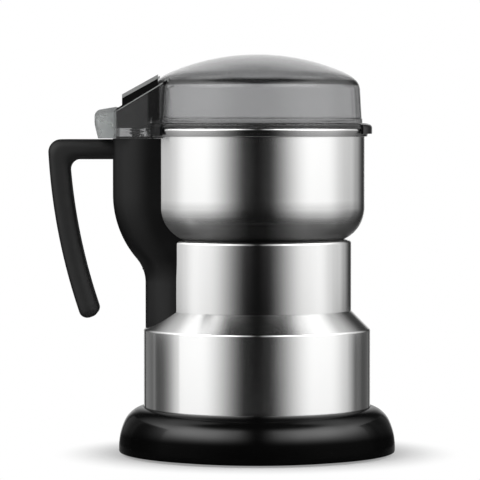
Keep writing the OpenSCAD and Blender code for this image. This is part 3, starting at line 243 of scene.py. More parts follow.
def loft(rings, closed=False):
    """Rings of points joined in order, with end faces unless the last ring meets the first."""
    count, last = len(rings[0]), len(rings)
    faces = []
    for k in range(last if closed else last - 1):
        here, there = k * count, (k + 1) % last * count
        for i in range(count):
            j = (i + 1) % count
            faces.append((here + i, here + j, there + j, there + i))
    if not closed:
        faces += [tuple(range(count)), tuple(range(last * count - 1, (last - 1) * count - 1, -1))]
    return solid([v for ring in rings for v in ring], faces)


def lathe(profile):
    """A closed profile of radius and height, turned about the axis."""
    turns = [2 * math.pi * k / LATHE_STEPS for k in range(LATHE_STEPS)]
    return loft([[(r * math.cos(a), r * math.sin(a), z) for r, z in profile] for a in turns], True)


def prism(outline, low, high, along="z"):
    """An outline pushed along an axis. It holds the other two coordinates in order."""
    place = {"x": lambda p, c: (c, *p), "y": lambda p, c: (p[0], c, p[1]), "z": lambda p, c: (*p, c)}[along]
    return loft([[place(p, c) for p in outline] for c in (low, high)])


def block(low, high):
    return prism([(low[0], low[1]), (high[0], low[1]), (high[0], high[1]), (low[0], high[1])], low[2], high[2])


def rod(c, r, low, high, along="z"):
    return prism(arc(c, r, 0, 360, ROD_STEPS)[:-1], low, high, along)


def settle(item):
    """Apply an object's modifiers to its mesh."""
    shape = bpy.data.meshes.new_from_object(item.evaluated_get(bpy.context.evaluated_depsgraph_get()))
    item.modifiers.clear()
    item.data = shape


def join(item, *others, how="UNION"):
    for other in others:
        step = item.modifiers.new("step", "BOOLEAN")
        step.operation, step.solver, step.object = how, "EXACT", other
        settle(item)
        bpy.data.objects.remove(other)
    return item


def cut(item, *others):
    return join(item, *others, how="DIFFERENCE")


def common(item, *others):
    return join(item, *others, how="INTERSECT")


def part_at(item, x):
    """Put edges round an item where its finish changes, at one place along the x axis."""
    mesh = bmesh.new()
    mesh.from_mesh(item.data)
    everything = mesh.verts[:] + mesh.edges[:] + mesh.faces[:]
    bmesh.ops.bisect_plane(mesh, geom=everything, plane_co=(x * MM, 0, 0), plane_no=(1, 0, 0))
    mesh.to_mesh(item.data)
    mesh.free()


def show(item, name, body, slot, *nodes):
    """Finish a solid as a piece of a body, in place of CAD nodes."""
    item.name = item.data.name = name
    item.data.shade_smooth()
    item.data.set_sharp_from_angle(angle=math.radians(SHARP))
    item.data.materials.clear()
    item.data.materials.append(finishes[slot].material)
    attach(item, body)
    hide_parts(*nodes)


# Finishes. Shade that the studio leaves out is painted on the steel, by height, facing and distance from the middle.
SHELL_R, NECK_R, NECK_Z, SHOULDER_Z, SHEET = 56.7, 47.2, 107.6, 62.7, 0.8
NECK_FOOT_Z = SHOULDER_Z + SHELL_R - NECK_R
BRUSHED, BRUSH_TURN, BRUSH_STRETCH, SMEAR_STRETCH, SMEAR_PART = 0.86, 0.25, (40, 40, 5200), (1, 1, 0.6), 0.6
STEEL_SPREAD, STEEL_DARK, ROUGHER, ROUGHER_FACING, MIDDLE_FACING = 0.035, 0.05, 2.4, (-0.25, -0.6), (-0.14, -0.46)
UNDERSIDE = ((-0.22, 0.0), (-0.34, 0.3), (-0.46, 0.6), (-0.58, 0.73), (-0.7, 0.78), (-0.82, 0.86))
UNDERSIDE_TOP = (124.0, 121.0)
CORNER_RISE, CORNER_FALL, CORNER_SHADE = (119.5, 122.8), (124.2, 127.5), 0.25
CONE_FOOT, CONE_TOP = (SHOULDER_Z - 0.1, SHOULDER_Z + 0.5), (NECK_FOOT_Z - 0.7, NECK_FOOT_Z)
NECK_TOP = (NECK_Z, NECK_Z + 0.3)
MIDDLE_WIDTH, NECK_WIDTH = (4.0, 23.0), (6.0, 36.0)
MIDDLE_SHADE, NECK_SHADE, CONE_SHADE = 0.97, 0.56, 0.52


def scaled(color, factor):
    return tuple(min(1.0, c * factor) for c in color)


def steel(name, color, rough):
    finish = Finish(name, color, rough, 1.0, anisotropic=BRUSHED, anisotropic_rotation=BRUSH_TURN).turned()
    lines = finish.noise(1.0, BRUSH_STRETCH, 4.0)
    smears = finish.noise(28.0, SMEAR_STRETCH, 3.0, 0.6)
    both = finish.math("MULTIPLY_ADD", smears, SMEAR_PART, finish.math("MULTIPLY", lines, 1 - SMEAR_PART))
    facing = finish.upward()
    polish = finish.fit(both, 0.25, 0.75, rough - STEEL_SPREAD, rough + STEEL_SPREAD)
    finish.link(finish.math("MULTIPLY", polish, finish.fit(facing, *ROUGHER_FACING, 1.0, ROUGHER)), "Roughness")
    across, _, up = finish.spot()
    aside = finish.math("ABSOLUTE", across)
    middle = finish.math("MULTIPLY", finish.fit(aside, *MIDDLE_WIDTH, MIDDLE_SHADE, 0.0),
                         finish.fit(facing, *MIDDLE_FACING))
    below = finish.plan(facing, 0.0, -1.0, UNDERSIDE, "LINEAR")
    under = finish.math("SUBTRACT", finish.math("ADD", middle, below), finish.math("MULTIPLY", middle, below))
    under = finish.math("MULTIPLY", under, finish.fit(up, *UNDERSIDE_TOP))
    corner = finish.hump(up, CORNER_RISE, CORNER_FALL, CORNER_SHADE)
    neck = finish.math("MULTIPLY", finish.hump(up, CONE_TOP, NECK_TOP), finish.fit(aside, *NECK_WIDTH, NECK_SHADE, 0.0))
    cone = finish.math("MULTIPLY", finish.hump(up, CONE_FOOT, CONE_TOP),
                       finish.fit(aside, *MIDDLE_WIDTH, CONE_SHADE, 0.0, True))
    finish.vary_color(finish.fold("MAXIMUM", under, corner, neck, cone), scaled(color, STEEL_DARK))
    return finish.bump(lines, 0.004, 0.25)


def plastic(name, color, rough, depth=0.01, scale=900.0, level=0.5):
    finish = Finish(name, color, rough, specular_ior_level=level)
    finish.vary_color(finish.noise(35.0, detail=4.0), scaled(color, 1.8), 0.45, 0.95)
    finish.vary_rough(finish.noise(60.0, detail=5.0, distortion=0.4), 0.05)
    return finish.bump(finish.noise(scale, detail=2.0), depth, 0.35)


def metal(name, color, rough, scale, stretch=(1, 1, 1), depth=0.01):
    finish = Finish(name, color, rough, 1.0)
    grain = finish.noise(scale, stretch, 3.0)
    finish.vary_rough(grain, 0.07)
    finish.vary_color(finish.noise(55.0, detail=4.0), scaled(color, 0.82), 0.45, 0.9)
    return finish.bump(grain, depth, 0.4)


def smoked(name, color, density, rough, clear):
    """Tinted plastic that darkens with the length of the light's way through it."""
    finish = Finish(name, color, rough, transmission_weight=clear, ior=1.49)
    finish.vary_rough(finish.noise(45.0, detail=4.0, distortion=0.3), rough * 0.4)
    finish.bump(finish.noise(7.0, detail=1.0), 0.02, 0.08)
    inside = finish.add("VolumeAbsorption", {"Color": (0.5, 0.5, 0.505, 1), "Density": density})
    return finish.send(inside.outputs[0], "Volume")


def wound(name, color, rough, scale):
    finish = Finish(name, color, rough, 1.0, coat_weight=0.5, coat_roughness=0.1)
    wires = finish.layers(scale, 0.6)
    finish.vary_color(wires, scaled(color, 0.45), 0.0, 0.6)
    return finish.bump(wires, 0.25, 0.8)


def stacked(name, color, rough):
    finish = Finish(name, color, rough, 0.9)
    sheets = finish.layers(640.0)
    finish.vary_color(sheets, (0.07, 0.07, 0.075), 0.0, 0.5)
    return finish.bump(sheets, 0.12, 0.6)


HANDLE_LEVELS = {"handle_black": 0.28, "grip_black": 0.56}
finishes = {finish.name: finish for finish in (
    plastic("base_black", (0.0018, 0.0018, 0.0018), 0.16, 0.005, level=0.35),
    plastic("handle_black", (0.0026, 0.0026, 0.0027), 0.4, 0.006, 1100.0, HANDLE_LEVELS["handle_black"]),
    plastic("grip_black", (0.003, 0.003, 0.0031), 0.66, 0.006, 1100.0, HANDLE_LEVELS["grip_black"]),
    plastic("key_black", (0.007, 0.007, 0.007), 0.18, 0.006, level=0.4),
    plastic("inner_plastic", (0.03, 0.03, 0.032), 0.5, 0.02),
    plastic("pale_plastic", (0.72, 0.71, 0.67), 0.4, 0.012),
    plastic("switch_black", (0.02, 0.02, 0.024), 0.45, 0.015),
    plastic("button_red", (0.45, 0.022, 0.018), 0.35, 0.01),
    plastic("rubber", (0.018, 0.018, 0.018), 0.72, 0.05, 700.0, 0.25),
    plastic("carbon", (0.02, 0.02, 0.022), 0.55, 0.03, 1500.0),
    steel("body_steel", (0.89, 0.89, 0.885), 0.17),
    steel("bowl_steel", (0.86, 0.86, 0.855), 0.18),
    metal("blade_steel", (0.68, 0.68, 0.68), 0.24, 2400.0, (0.04, 1, 1), 0.008),
    metal("screw_steel", (0.6, 0.6, 0.62), 0.3, 500.0),
    metal("spring_steel", (0.72, 0.72, 0.73), 0.2, 900.0, (1, 1, 0.2), 0.004),
    metal("brass", (0.72, 0.5, 0.19), 0.26, 400.0),
    metal("bronze", (0.5, 0.32, 0.13), 0.5, 1600.0, depth=0.03),
    stacked("laminations", (0.2, 0.2, 0.215), 0.42),
    wound("copper", (0.62, 0.26, 0.11), 0.32, 520.0),
    smoked("smoked_lid", (0.8, 0.803, 0.806), 290.0, 0.03, 0.93),
    smoked("smoked_cap", (0.6, 0.61, 0.605), 60.0, 0.25, 0.5),
    smoked("smoked_edge", (0.3, 0.31, 0.305), 120.0, 0.3, 0.4),
    smoked("smoked_frost", (0.67, 0.695, 0.69), 60.0, 0.28, 0.72),
    smoked("smoked_dark", (0.012, 0.012, 0.0125), 900.0, 0.18, 0.2),
)}

# Base gloss: most near the top of its side, less at the middle and toward the left and right ends
GLOSS_FOOT, GLOSS, GLOSS_RISE, GLOSS_TOP, GLOSS_FALL = 0.015, 0.48, (10, 17), 0.1, (18.5, 22.5)
GLOSS_MIDDLE, GLOSS_MIDDLE_WIDTH, GLOSS_ENDS, GLOSS_ENDS_FROM = 0.3, (1, 8), 0.2, (44, 60)
foot = finishes["base_black"]
across, _, up = foot.spot()
aside = foot.math("ABSOLUTE", across)
foot.link(foot.fold("MULTIPLY", foot.fit(up, *GLOSS_RISE, GLOSS_FOOT, GLOSS, True),
                    foot.fit(up, *GLOSS_FALL, 1.0, GLOSS_TOP),
                    foot.fit(aside, *GLOSS_MIDDLE_WIDTH, GLOSS_MIDDLE, 1.0),
                    foot.fit(aside, *GLOSS_ENDS_FROM, 1.0, GLOSS_ENDS, True)), "Specular IOR Level")

# Handle gloss: weaker where it is seen at a flat angle
FLAT_FROM, FLAT_LEVEL = (0.3, 0.75), 0.05
for name, level in HANDLE_LEVELS.items():
    grain = finishes[name]
    edge = grain.add("LayerWeight").outputs["Facing"]
    grain.link(grain.fit(edge, *FLAT_FROM, level, FLAT_LEVEL), "Specular IOR Level")

# Lid: painted shade on the smoked plastic's colour, deeper at its foot, at the front of its corner,
# at the hood's root and where the wall is seen at a flat angle
SHADE_LOW, SHADE_HIGH, HOOD_SIDE, WALL_SIDE, UPRIGHT = 155.0, 200.0, (-54, -51), (-50, -47), (0.1, 0.25)
FRONT_BAND_SHADE, BAND_RISE, BAND_FALL, BAND_DEPTH = 0.9, (183.9, 184.6), (186.5, 187.2), (5, 20)
HOOD_ROOT_SHADE, ROOT_RISE, ROOT_FALL, ROOT_DEPTH, ROOT_FOOT = 0.7, (-54.4, -53.2), (-48.6, -47.8), (21.0, 22.5), (165.8, 167.0)
SHADES = ((165.2, 0.62), (165.8, 0.2), (168.2, 0.15), (168.8, 0.0), (190.5, 0.0), (193.5, 0.24))
EDGE_SHADE_STOPS = ((0.64, 0.0), (0.7, 0.55), (0.735, 0.55), (0.77, 0.1), (0.8, 0.1), (0.83, 0.7), (1.0, 0.5))
lid_plastic = finishes["smoked_lid"]
across, depth, up = lid_plastic.spot()
# Painted shade by height, at the foot and near the top of the wall, not on the hood
shade = lid_plastic.math("MULTIPLY", lid_plastic.plan(up, SHADE_LOW, SHADE_HIGH, SHADES, "LINEAR"), lid_plastic.fit(across, *HOOD_SIDE))
# Painted dark band at the front of the lid's corner
painted_band = lid_plastic.math("MULTIPLY", lid_plastic.hump(up, BAND_RISE, BAND_FALL, smooth=True),
                 lid_plastic.fit(depth, *BAND_DEPTH, FRONT_BAND_SHADE, 0.0))
# Painted shade at the hood's root, on its sides
painted_root = lid_plastic.fold("MULTIPLY", lid_plastic.hump(across, ROOT_RISE, ROOT_FALL, HOOD_ROOT_SHADE),
                 lid_plastic.fit(lid_plastic.math("ABSOLUTE", depth), *ROOT_DEPTH), lid_plastic.fit(up, *ROOT_FOOT))
# Painted dark lines where the upright wall is seen at a flat angle, away from the hood
painted_edges = lid_plastic.fold("MULTIPLY", lid_plastic.plan(lid_plastic.add("LayerWeight").outputs["Facing"], 0.0, 1.0, EDGE_SHADE_STOPS, "LINEAR"),
                lid_plastic.fit(lid_plastic.math("ABSOLUTE", lid_plastic.upward()), *UPRIGHT, 1.0, 0.0), lid_plastic.fit(across, *WALL_SIDE))
lid_plastic.vary_color(lid_plastic.fold("MAXIMUM", shade, painted_edges, painted_root, painted_band), (0.0, 0.0, 0.0))

slots = {part["node"]: part["material_slot"] for part in frame["record"]["subparts"]}
for node, piece in frame["nodes"].items():
    for holder in piece.material_slots:
        holder.material = finishes[slots[node]].material

# Base moulding: two arcs that pass into each other, a level crest and a step for the steel body
BASE_R, BASE_H, FOOT, BASE_WALL, SEAT_GAP = 69.1, 24.2, 1.2, 3.0, 0.1
SIDE_C, SIDE_R, TOP_C, TOP_R, TURN = (39.07, 4.0), 30.03, (54.5, 11.1951), 13.0049, 25.0
FOOT_EDGE, FOOT_EDGE_MID, CREST_STOP, LIP_IN, LIP_TOP, LIP_FOOT = 0.8, 0.23, 3.0, 0.15, 0.45, 0.6
SHELL_Z, DECK_Z, DECK_HOLE_R, COVER_R, COVER_TOP = 22.2, 19.2, 38.0, 65.1, 3.8
GLAND_Y, GLAND_Z, GLAND_R, GLAND_FLANGE_R, GLAND_DEPTH = 65.887, 11.5, 4.4, 5.7, 8.0
seat = SHELL_R + SEAT_GAP
crest = math.degrees(math.acos((seat - TOP_C[0]) / TOP_R))
deck_arc = math.degrees(math.asin((DECK_Z - TOP_C[1]) / (TOP_R - BASE_WALL)))
base = lathe(
    [(BASE_R - FOOT_EDGE, FOOT), (BASE_R - FOOT_EDGE_MID, FOOT + FOOT_EDGE_MID), (BASE_R, FOOT + FOOT_EDGE)]
    + arc(SIDE_C, SIDE_R, 0, TURN, 16) + arc(TOP_C, TOP_R, TURN, crest - CREST_STOP, 20)[1:]
    + [(seat + LIP_IN, BASE_H - LIP_TOP), (seat, BASE_H - LIP_FOOT), (seat, SHELL_Z), (DECK_HOLE_R, SHELL_Z),
       (DECK_HOLE_R, DECK_Z)]
    + arc(TOP_C, TOP_R - BASE_WALL, deck_arc, TURN, 8) + arc(SIDE_C, SIDE_R - BASE_WALL, TURN, 0, 8)[1:]
    + [(BASE_R - BASE_WALL, COVER_TOP), (COVER_R, COVER_TOP), (COVER_R, FOOT)])
cut(base, rod((0, GLAND_Z), GLAND_R, GLAND_Y - GLAND_DEPTH, BASE_R + PAST, "y"),
    rod((0, GLAND_Z), GLAND_FLANGE_R, GLAND_Y, BASE_R + PAST, "y"))
show(base, "base_moulding", "body", "base_black", "base_ring")

# Steel body: foot turned in, straight wall, shoulder and neck
FOOT_HOLE_R, NECK_MOUTH_R = 50.0, 40.0
SHOULDER_ROUND, NECK_ROUND, TILT = 1.6, 2.0, 45.0
half_tilt = math.tan(math.radians(TILT / 2))


def shell_side(inset):
    """The body's side from its foot to the top of its neck, drawn in by inset."""
    return ([(SHELL_R - inset, SHELL_Z + inset)]
            + arc((SHELL_R - SHOULDER_ROUND, SHOULDER_Z - SHOULDER_ROUND * half_tilt), SHOULDER_ROUND - inset, 0, TILT)
            + [(NECK_R - inset, NECK_FOOT_Z - inset * half_tilt)]
            + arc((NECK_R - NECK_ROUND, NECK_Z - NECK_ROUND), NECK_ROUND - inset, 0, 90))


body = lathe(
    [(FOOT_HOLE_R, SHELL_Z)] + shell_side(0) + [(NECK_MOUTH_R, NECK_Z), (NECK_MOUTH_R, NECK_Z - SHEET)]
    + shell_side(SHEET)[::-1] + [(FOOT_HOLE_R, SHELL_Z + SHEET)])
show(body, "steel_body", "body", "body_steel", "body_shell")

# Bowl: pressed floor, rounded corner, straight wall and rolled rim
BOWL_R, CORNER, CORNER_TURN, RIM_TOP, RIM_H, RIM_R = 53.8, 17.5, 66.0, 163.3, 4.5, 1.45
BOWL_HOLE_R, ROLL_IN, ROLL_R, ROLL_TURN = 9.1, 0.95, 0.25, -13
rim_x = BOWL_R - SHEET + RIM_R
rim_foot = RIM_TOP - RIM_H
corner_c = (BOWL_R - CORNER, NECK_Z + CORNER * math.sin(math.radians(CORNER_TURN)))
floor_turn = math.degrees(math.asin((corner_c[1] - NECK_Z - SHEET) / (CORNER - SHEET)))
bowl = lathe(
    [(BOWL_HOLE_R, NECK_Z)] + arc(corner_c, CORNER, -CORNER_TURN, 0, 24) + [(BOWL_R, rim_foot)]
    + arc((rim_x + RIM_R - ROLL_IN, rim_foot + ROLL_R), ROLL_R, -90, ROLL_TURN, 6)
    + arc((rim_x, RIM_TOP - RIM_R), RIM_R, ROLL_TURN, 180, 32)
    + arc(corner_c, CORNER - SHEET, 0, -floor_turn, 24) + [(BOWL_HOLE_R, NECK_Z + SHEET)])
show(bowl, "steel_bowl", "body", "bowl_steel", "bowl")

# Lid: dome, wall, flange and collar turned in one, with a low band round the foot of the wall
LID_R, FLANGE_R, FLANGE_ROUND, LID_Z, FLANGE_T = 57.5, 56.4, 1.5, 163.4, 2.1
LID_WALL_R, DRAFT, LID_T, CROWN_Z, DOME_R = 51.5, 0.9, 2.0, 199.8, 110.0
COLLAR_R, COLLAR_H, COLLAR_T = 52.6, 6.0, 2.0
BEND_X, BEND_Z, BEND_PULL, BEND_STEPS = 42.0, 181.5, 0.72, 32
FOOT_BAND, FOOT_BAND_IN, FOOT_BAND_OUT, FOOT_BAND_EDGE = 2.5, 0.1, 0.3, 0.4
flange_top = LID_Z + FLANGE_T
foot_r = LID_WALL_R + DRAFT
dome_c = (0, CROWN_Z - DOME_R)
bend_turn = math.degrees(math.acos(BEND_X / DOME_R))
bend_from = (BEND_X, dome_c[1] + DOME_R * math.sin(math.radians(bend_turn)))
bend_to = (LID_WALL_R, BEND_Z)
bend_tip = (LID_WALL_R, bend_from[1] - (LID_WALL_R - BEND_X) / math.tan(math.radians(bend_turn)))
pulls = ([bend_from]
         + [tuple(a + BEND_PULL * (b - a) for a, b in zip(end, bend_tip)) for end in (bend_from, bend_to)]
         + [bend_to])


def bend_point(t, inset):
    """A point of the smooth bend from dome to wall, drawn in by inset along its normal."""
    weights = ((1 - t) ** 3, 3 * t * (1 - t) ** 2, 3 * t ** 2 * (1 - t), t ** 3)
    slopes = (-3 * (1 - t) ** 2, 3 * (1 - t) * (1 - 3 * t), 3 * t * (2 - 3 * t), 3 * t ** 2)
    r, z = (sum(w * p[k] for w, p in zip(weights, pulls)) for k in (0, 1))
    along, fall = (sum(w * p[k] for w, p in zip(slopes, pulls)) for k in (0, 1))
    long = math.hypot(along, fall)
    return r + inset * fall / long, z - inset * along / long


def dome_side(inset):
    """The lid from its crown down to the foot of the bend, drawn in by inset."""
    return (arc(dome_c, DOME_R - inset, 90, bend_turn, 40)
            + [bend_point(i / BEND_STEPS, inset) for i in range(1, BEND_STEPS + 1)])


lid = lathe(
    dome_side(0)
    + [(foot_r - FOOT_BAND_IN, flange_top + FOOT_BAND),
       (foot_r - FOOT_BAND_IN + FOOT_BAND_OUT, flange_top + FOOT_BAND - FOOT_BAND_EDGE),
       (foot_r + FOOT_BAND_OUT, flange_top)]
    + arc((FLANGE_R - FLANGE_ROUND, flange_top - FLANGE_ROUND), FLANGE_ROUND, 90, 0, 10)
    + [(FLANGE_R, LID_Z), (COLLAR_R, LID_Z), (COLLAR_R, LID_Z - COLLAR_H), (COLLAR_R - COLLAR_T, LID_Z - COLLAR_H),
       (COLLAR_R - COLLAR_T, LID_Z), (foot_r - LID_T, flange_top)]
    + dome_side(LID_T)[::-1])

# A hook at the lid's right, and lugs in front of and behind the hood's root
HOOK_H, HOOK_W, HOOK_EDGE, HOOK_ROUND = 3.3, 48.0, 0.4, 2.0
LUG_FOOT, LUG_FROM, LUG_TO = 159.2, 22.5, 32.0
hook_top = flange_top - HOOK_EDGE


def hook_ring(foot_z):
    """A ring round the flange, down to foot_z."""
    inner = FLANGE_R - FLANGE_T
    return lathe([(inner, LID_Z + HOOK_EDGE), (FLANGE_R, LID_Z + HOOK_EDGE), (FLANGE_R, foot_z)]
                 + arc((LID_R - HOOK_EDGE, foot_z + HOOK_EDGE), HOOK_EDGE, -90, 0, 6)
                 + arc((LID_R - HOOK_ROUND, hook_top - HOOK_ROUND), HOOK_ROUND, 0, 90, 10) + [(inner, hook_top)])


hook = common(hook_ring(LID_Z - HOOK_H), block((0, -HOOK_W / 2, 0), (LID_R + PAST, HOOK_W / 2, CROWN_Z)))
lugs = [common(hook_ring(LUG_FOOT), block((-LID_R - PAST, low, 0), (0, low + LUG_TO - LUG_FROM, CROWN_Z)))
        for low in (-LUG_TO, LUG_FROM)]

# A hood over the handle at the lid's left, with an open slope for the key, a rib, a floor and cut upper edges
HOOD_Z, HOOD_REACH, HOOD_W, HOOD_WALL, HOOD_CORNER, HOOD_SLOPE = 157.9, 80.5, 48.0, 2.0, 9.5, 31.0
HOOD_EDGE_Z, HOOD_FLOOR, HOOD_ROOT, HOOD_INTO, HOOD_GAP = 182.4, 1.0, 27.5, 23.0, 0.55
KEY_REACH, RIB_T, PIN_U, PIN_HOLE_R = 69.4, 1.2, 60.5, 2.6
ROOF_RISE, ROOF_SLOPE, ROOF_ROUND, FOOT_LEAN, FOOT_SHARE = 1.8, 9.0, 4.0, 2.0, 0.74
EDGE_OUT, EDGE_CUT, EDGE_INTO = 0.3, 0.85, 5.0


def hood_edge(u):
    """The height of the hood's slope at a distance to the left."""
    return HOOD_EDGE_Z - (u - LID_WALL_R) * math.tan(math.radians(HOOD_SLOPE))


def hood_plan(inset, low=HOOD_Z - PAST, high=CROWN_Z):
    """The hood seen from above, drawn in by inset."""
    half, r = HOOD_W / 2 - inset, HOOD_CORNER - inset
    tip = HOOD_REACH - inset - r
    outline = ([(LID_WALL_R - HOOD_INTO, -half)] + arc((tip, r - half), r, -90, 0) + arc((tip, half - r), r, 0, 90)
               + [(LID_WALL_R - HOOD_INTO, half)])
    return prism([(-x, y) for x, y in outline], low, high)


roof_z = hood_edge(KEY_REACH) + ROOF_RISE
roof_u = HOOD_REACH - ROOF_ROUND
roof_c = (roof_u, roof_z - (roof_u - KEY_REACH) * math.tan(math.radians(ROOF_SLOPE))
          - ROOF_ROUND / math.cos(math.radians(ROOF_SLOPE)))
foot_h = (roof_c[1] - HOOD_Z) * FOOT_SHARE


def hood_side(shift=0.0):
    """The hood seen from the front, shifted to the right and down."""
    outline = ([(HOOD_ROOT, HOOD_Z), (HOOD_REACH - FOOT_LEAN, HOOD_Z), (HOOD_REACH, HOOD_Z + foot_h)]
               + arc(roof_c, ROOF_ROUND, 0, 90 - ROOF_SLOPE, 10)
               + [(KEY_REACH, roof_z), (KEY_REACH, hood_edge(KEY_REACH)), (HOOD_ROOT, hood_edge(HOOD_ROOT))])
    return prism([(shift - u, z - shift) for u, z in outline], -HOOD_W / 2 - PAST, HOOD_W / 2 + PAST, "y")


hood = common(hood_plan(0), hood_side())
hollow = join(hood_side(HOOD_WALL), block((-KEY_REACH, -HOOD_W, HOOD_Z), (0, HOOD_W, CROWN_Z + PAST)))
cut(hood, common(hollow, hood_plan(HOOD_WALL, HOOD_Z - 2 * PAST, CROWN_Z + 2 * PAST)))
rib = common(hood_plan(HOOD_WALL / 2), hood_side(),
             block((-KEY_REACH - RIB_T, -HOOD_W, 0), (-KEY_REACH, HOOD_W, CROWN_Z)))
deck = common(hood_plan(HOOD_WALL / 2, HOOD_Z, HOOD_Z + HOOD_FLOOR),
              block((-KEY_REACH - RIB_T / 2, -HOOD_W, 0), (-RIB_T / 2, HOOD_W, CROWN_Z)))
join(hood, rib, deck)
cut(hood, rod((0, 0), LID_R - HOOD_GAP, HOOD_Z - PAST, LID_Z + FLANGE_T / 2),
    rod((0, 0), LID_WALL_R - LID_T / 2, 0, CROWN_Z + PAST),
    rod((-PIN_U, 0), PIN_HOLE_R, HOOD_Z - PAST, HOOD_Z + HOOD_FLOOR + PAST))
half = HOOD_W / 2
edge_cut = ((half + EDGE_OUT, -EDGE_CUT), (half + EDGE_OUT, EDGE_OUT), (half - EDGE_CUT, EDGE_OUT))
for way in (-1, 1):
    cut(hood, loft([[(-u, way * y, hood_edge(u) + z) for y, z in edge_cut]
                    for u in (LID_WALL_R - EDGE_INTO, KEY_REACH + RIB_T)]))
join(lid, hook, hood, *lugs)
part_at(lid, -KEY_REACH)
show(lid, "lid_moulding", "lid", "smoked_lid", "lid_shell")

# The lid's other finishes: frost on the hood's end, cut edges along its slope, and a dark hook and lugs
PLAIN, FROST, DARK, EDGE = range(4)
NEAR, SLOPE_NEAR, SLOPE_UP, SLOPE_INTO, SLOPE_Y = 0.1, 1.0, 0.3, 8.0, 20.0
HOOK_X, LUG_X = 20.0, (-53.0, -20.0)
for slot in ("smoked_frost", "smoked_dark", "smoked_edge"):
    lid.data.materials.append(finishes[slot].material)


def lid_finish(face):
    x, y, z = face.center / MM
    if -x > KEY_REACH - NEAR:
        return FROST
    on_slope = abs(z - hood_edge(-x)) < SLOPE_NEAR and -x > LID_WALL_R - SLOPE_INTO
    if on_slope and abs(y) > SLOPE_Y and face.normal.z > SLOPE_UP:
        return EDGE
    on_hook = x > HOOK_X and abs(y) < HOOK_W / 2 + NEAR
    on_lug = LUG_X[0] < x < LUG_X[1] and LUG_FROM - NEAR < abs(y) < LUG_TO + NEAR and z < hook_top + NEAR
    return DARK if math.hypot(x, y) > FLANGE_R - NEAR and (on_hook or on_lug) else PLAIN


for face in lid.data.polygons:
    face.material_index = lid_finish(face)

# Handle: a hollow column that bends in to the neck, and a grip on a bar across its top
HANDLE_TOP, HANDLE_W, HANDLE_WALL, HANDLE_ROUND, HANDLE_GAP, HANDLE_ROOF = 157.5, 52.6, 2.6, 20.0, 0.3, 3.8
COLUMN_X, COLUMN_FOOT_X, COLUMN_BACK, COLUMN_Z, COLUMN_RISE = 71.8, 55.6, 30.0, 63.3, 0.3
COLUMN_BEND_Z, COLUMN_TOP_R, COLUMN_FOOT_R, COLUMN_STEPS = 130.0, 49.0, 18.7, 20
bend = math.acos(1 - (COLUMN_X - COLUMN_FOOT_X) / (COLUMN_TOP_R + COLUMN_FOOT_R))
bend_mid = COLUMN_BEND_Z - COLUMN_TOP_R * math.sin(bend)
bend_end = bend_mid - COLUMN_FOOT_R * math.sin(bend)


def column(low, high, inset=0.0):
    """The handle's column between two heights, drawn in by inset."""
    turns = [bend * i / COLUMN_STEPS for i in range(COLUMN_STEPS + 1)]
    levels = ([(low, COLUMN_FOOT_X)]
              + [(bend_end + COLUMN_FOOT_R * math.sin(a), COLUMN_FOOT_X + COLUMN_FOOT_R * (1 - math.cos(a)))
                 for a in turns]
              + [(COLUMN_BEND_Z - COLUMN_TOP_R * math.sin(a), COLUMN_X - COLUMN_TOP_R * (1 - math.cos(a)))
                 for a in turns[-2::-1]]
              + [(high, COLUMN_X)])
    side, r = HANDLE_W / 2 - HANDLE_ROUND, HANDLE_ROUND - inset
    rings = []
    for z, face in levels:
        u = HANDLE_ROUND - face
        ring = ([(-COLUMN_BACK, -side - r)] + arc((u, -side), r, 270, 180, 20) + arc((u, side), r, 180, 90, 20)
                + [(-COLUMN_BACK, side + r)])
        rings.append([(x, y, z) for x, y in ring])
    return loft(rings)


GRIP_X, GRIP_R, GRIP_LEAN, GRIP_Z, GRIP_T, GRIP_W, GRIP_ROUND = 104.0, 295.0, math.radians(2.7), 69.0, 10.0, 24.0, 5.0
GRIP_BEND, GRIP_OUT_R, GRIP_IN_R, GRIP_BULGE = 4.5, 6.4, 5.0, 4.0
GRIP_INTO, CORNER_STEPS, ARM_STEPS, END_STEPS, END_TURN, END_SHRINK = 0.8, 16, 24, 8, 80, 0.9
out_r, in_r = GRIP_R + GRIP_T / 2, GRIP_R - GRIP_T / 2
grip_c = (GRIP_X - out_r * math.cos(GRIP_LEAN), HANDLE_TOP - GRIP_BEND + out_r * math.sin(GRIP_LEAN))


def around(c, r, a):
    return c[0] + r * math.cos(a), c[1] + r * math.sin(a)


def grip_ring(outer, inner, shrink=0.0):
    """A rounded section of the grip between a point of its outside and one of its inside."""
    middle = [(a + b) / 2 for a, b in zip(outer, inner)]
    long = math.dist(outer, inner)
    out = [(a - b) / long for a, b in zip(outer, inner)]
    p, q = long / 2 - shrink, GRIP_W / 2 - shrink
    r = min(GRIP_ROUND, p, q)
    ring = []
    for k, (i, j) in enumerate(((1, 1), (-1, 1), (-1, -1), (1, -1))):
        ring += arc((i * (p - r), j * (q - r)), r, 90 * k, 90 * k + 90, 8)
    return [(-middle[0] - out[0] * x, -y, middle[1] + out[1] * x) for x, y in ring]


def arm_ring(a, b, shrink=0.0):
    """A section of the grip's long arm, at two angles below the level."""
    return grip_ring(around(grip_c, out_r, -a), around(grip_c, in_r, -b), shrink)


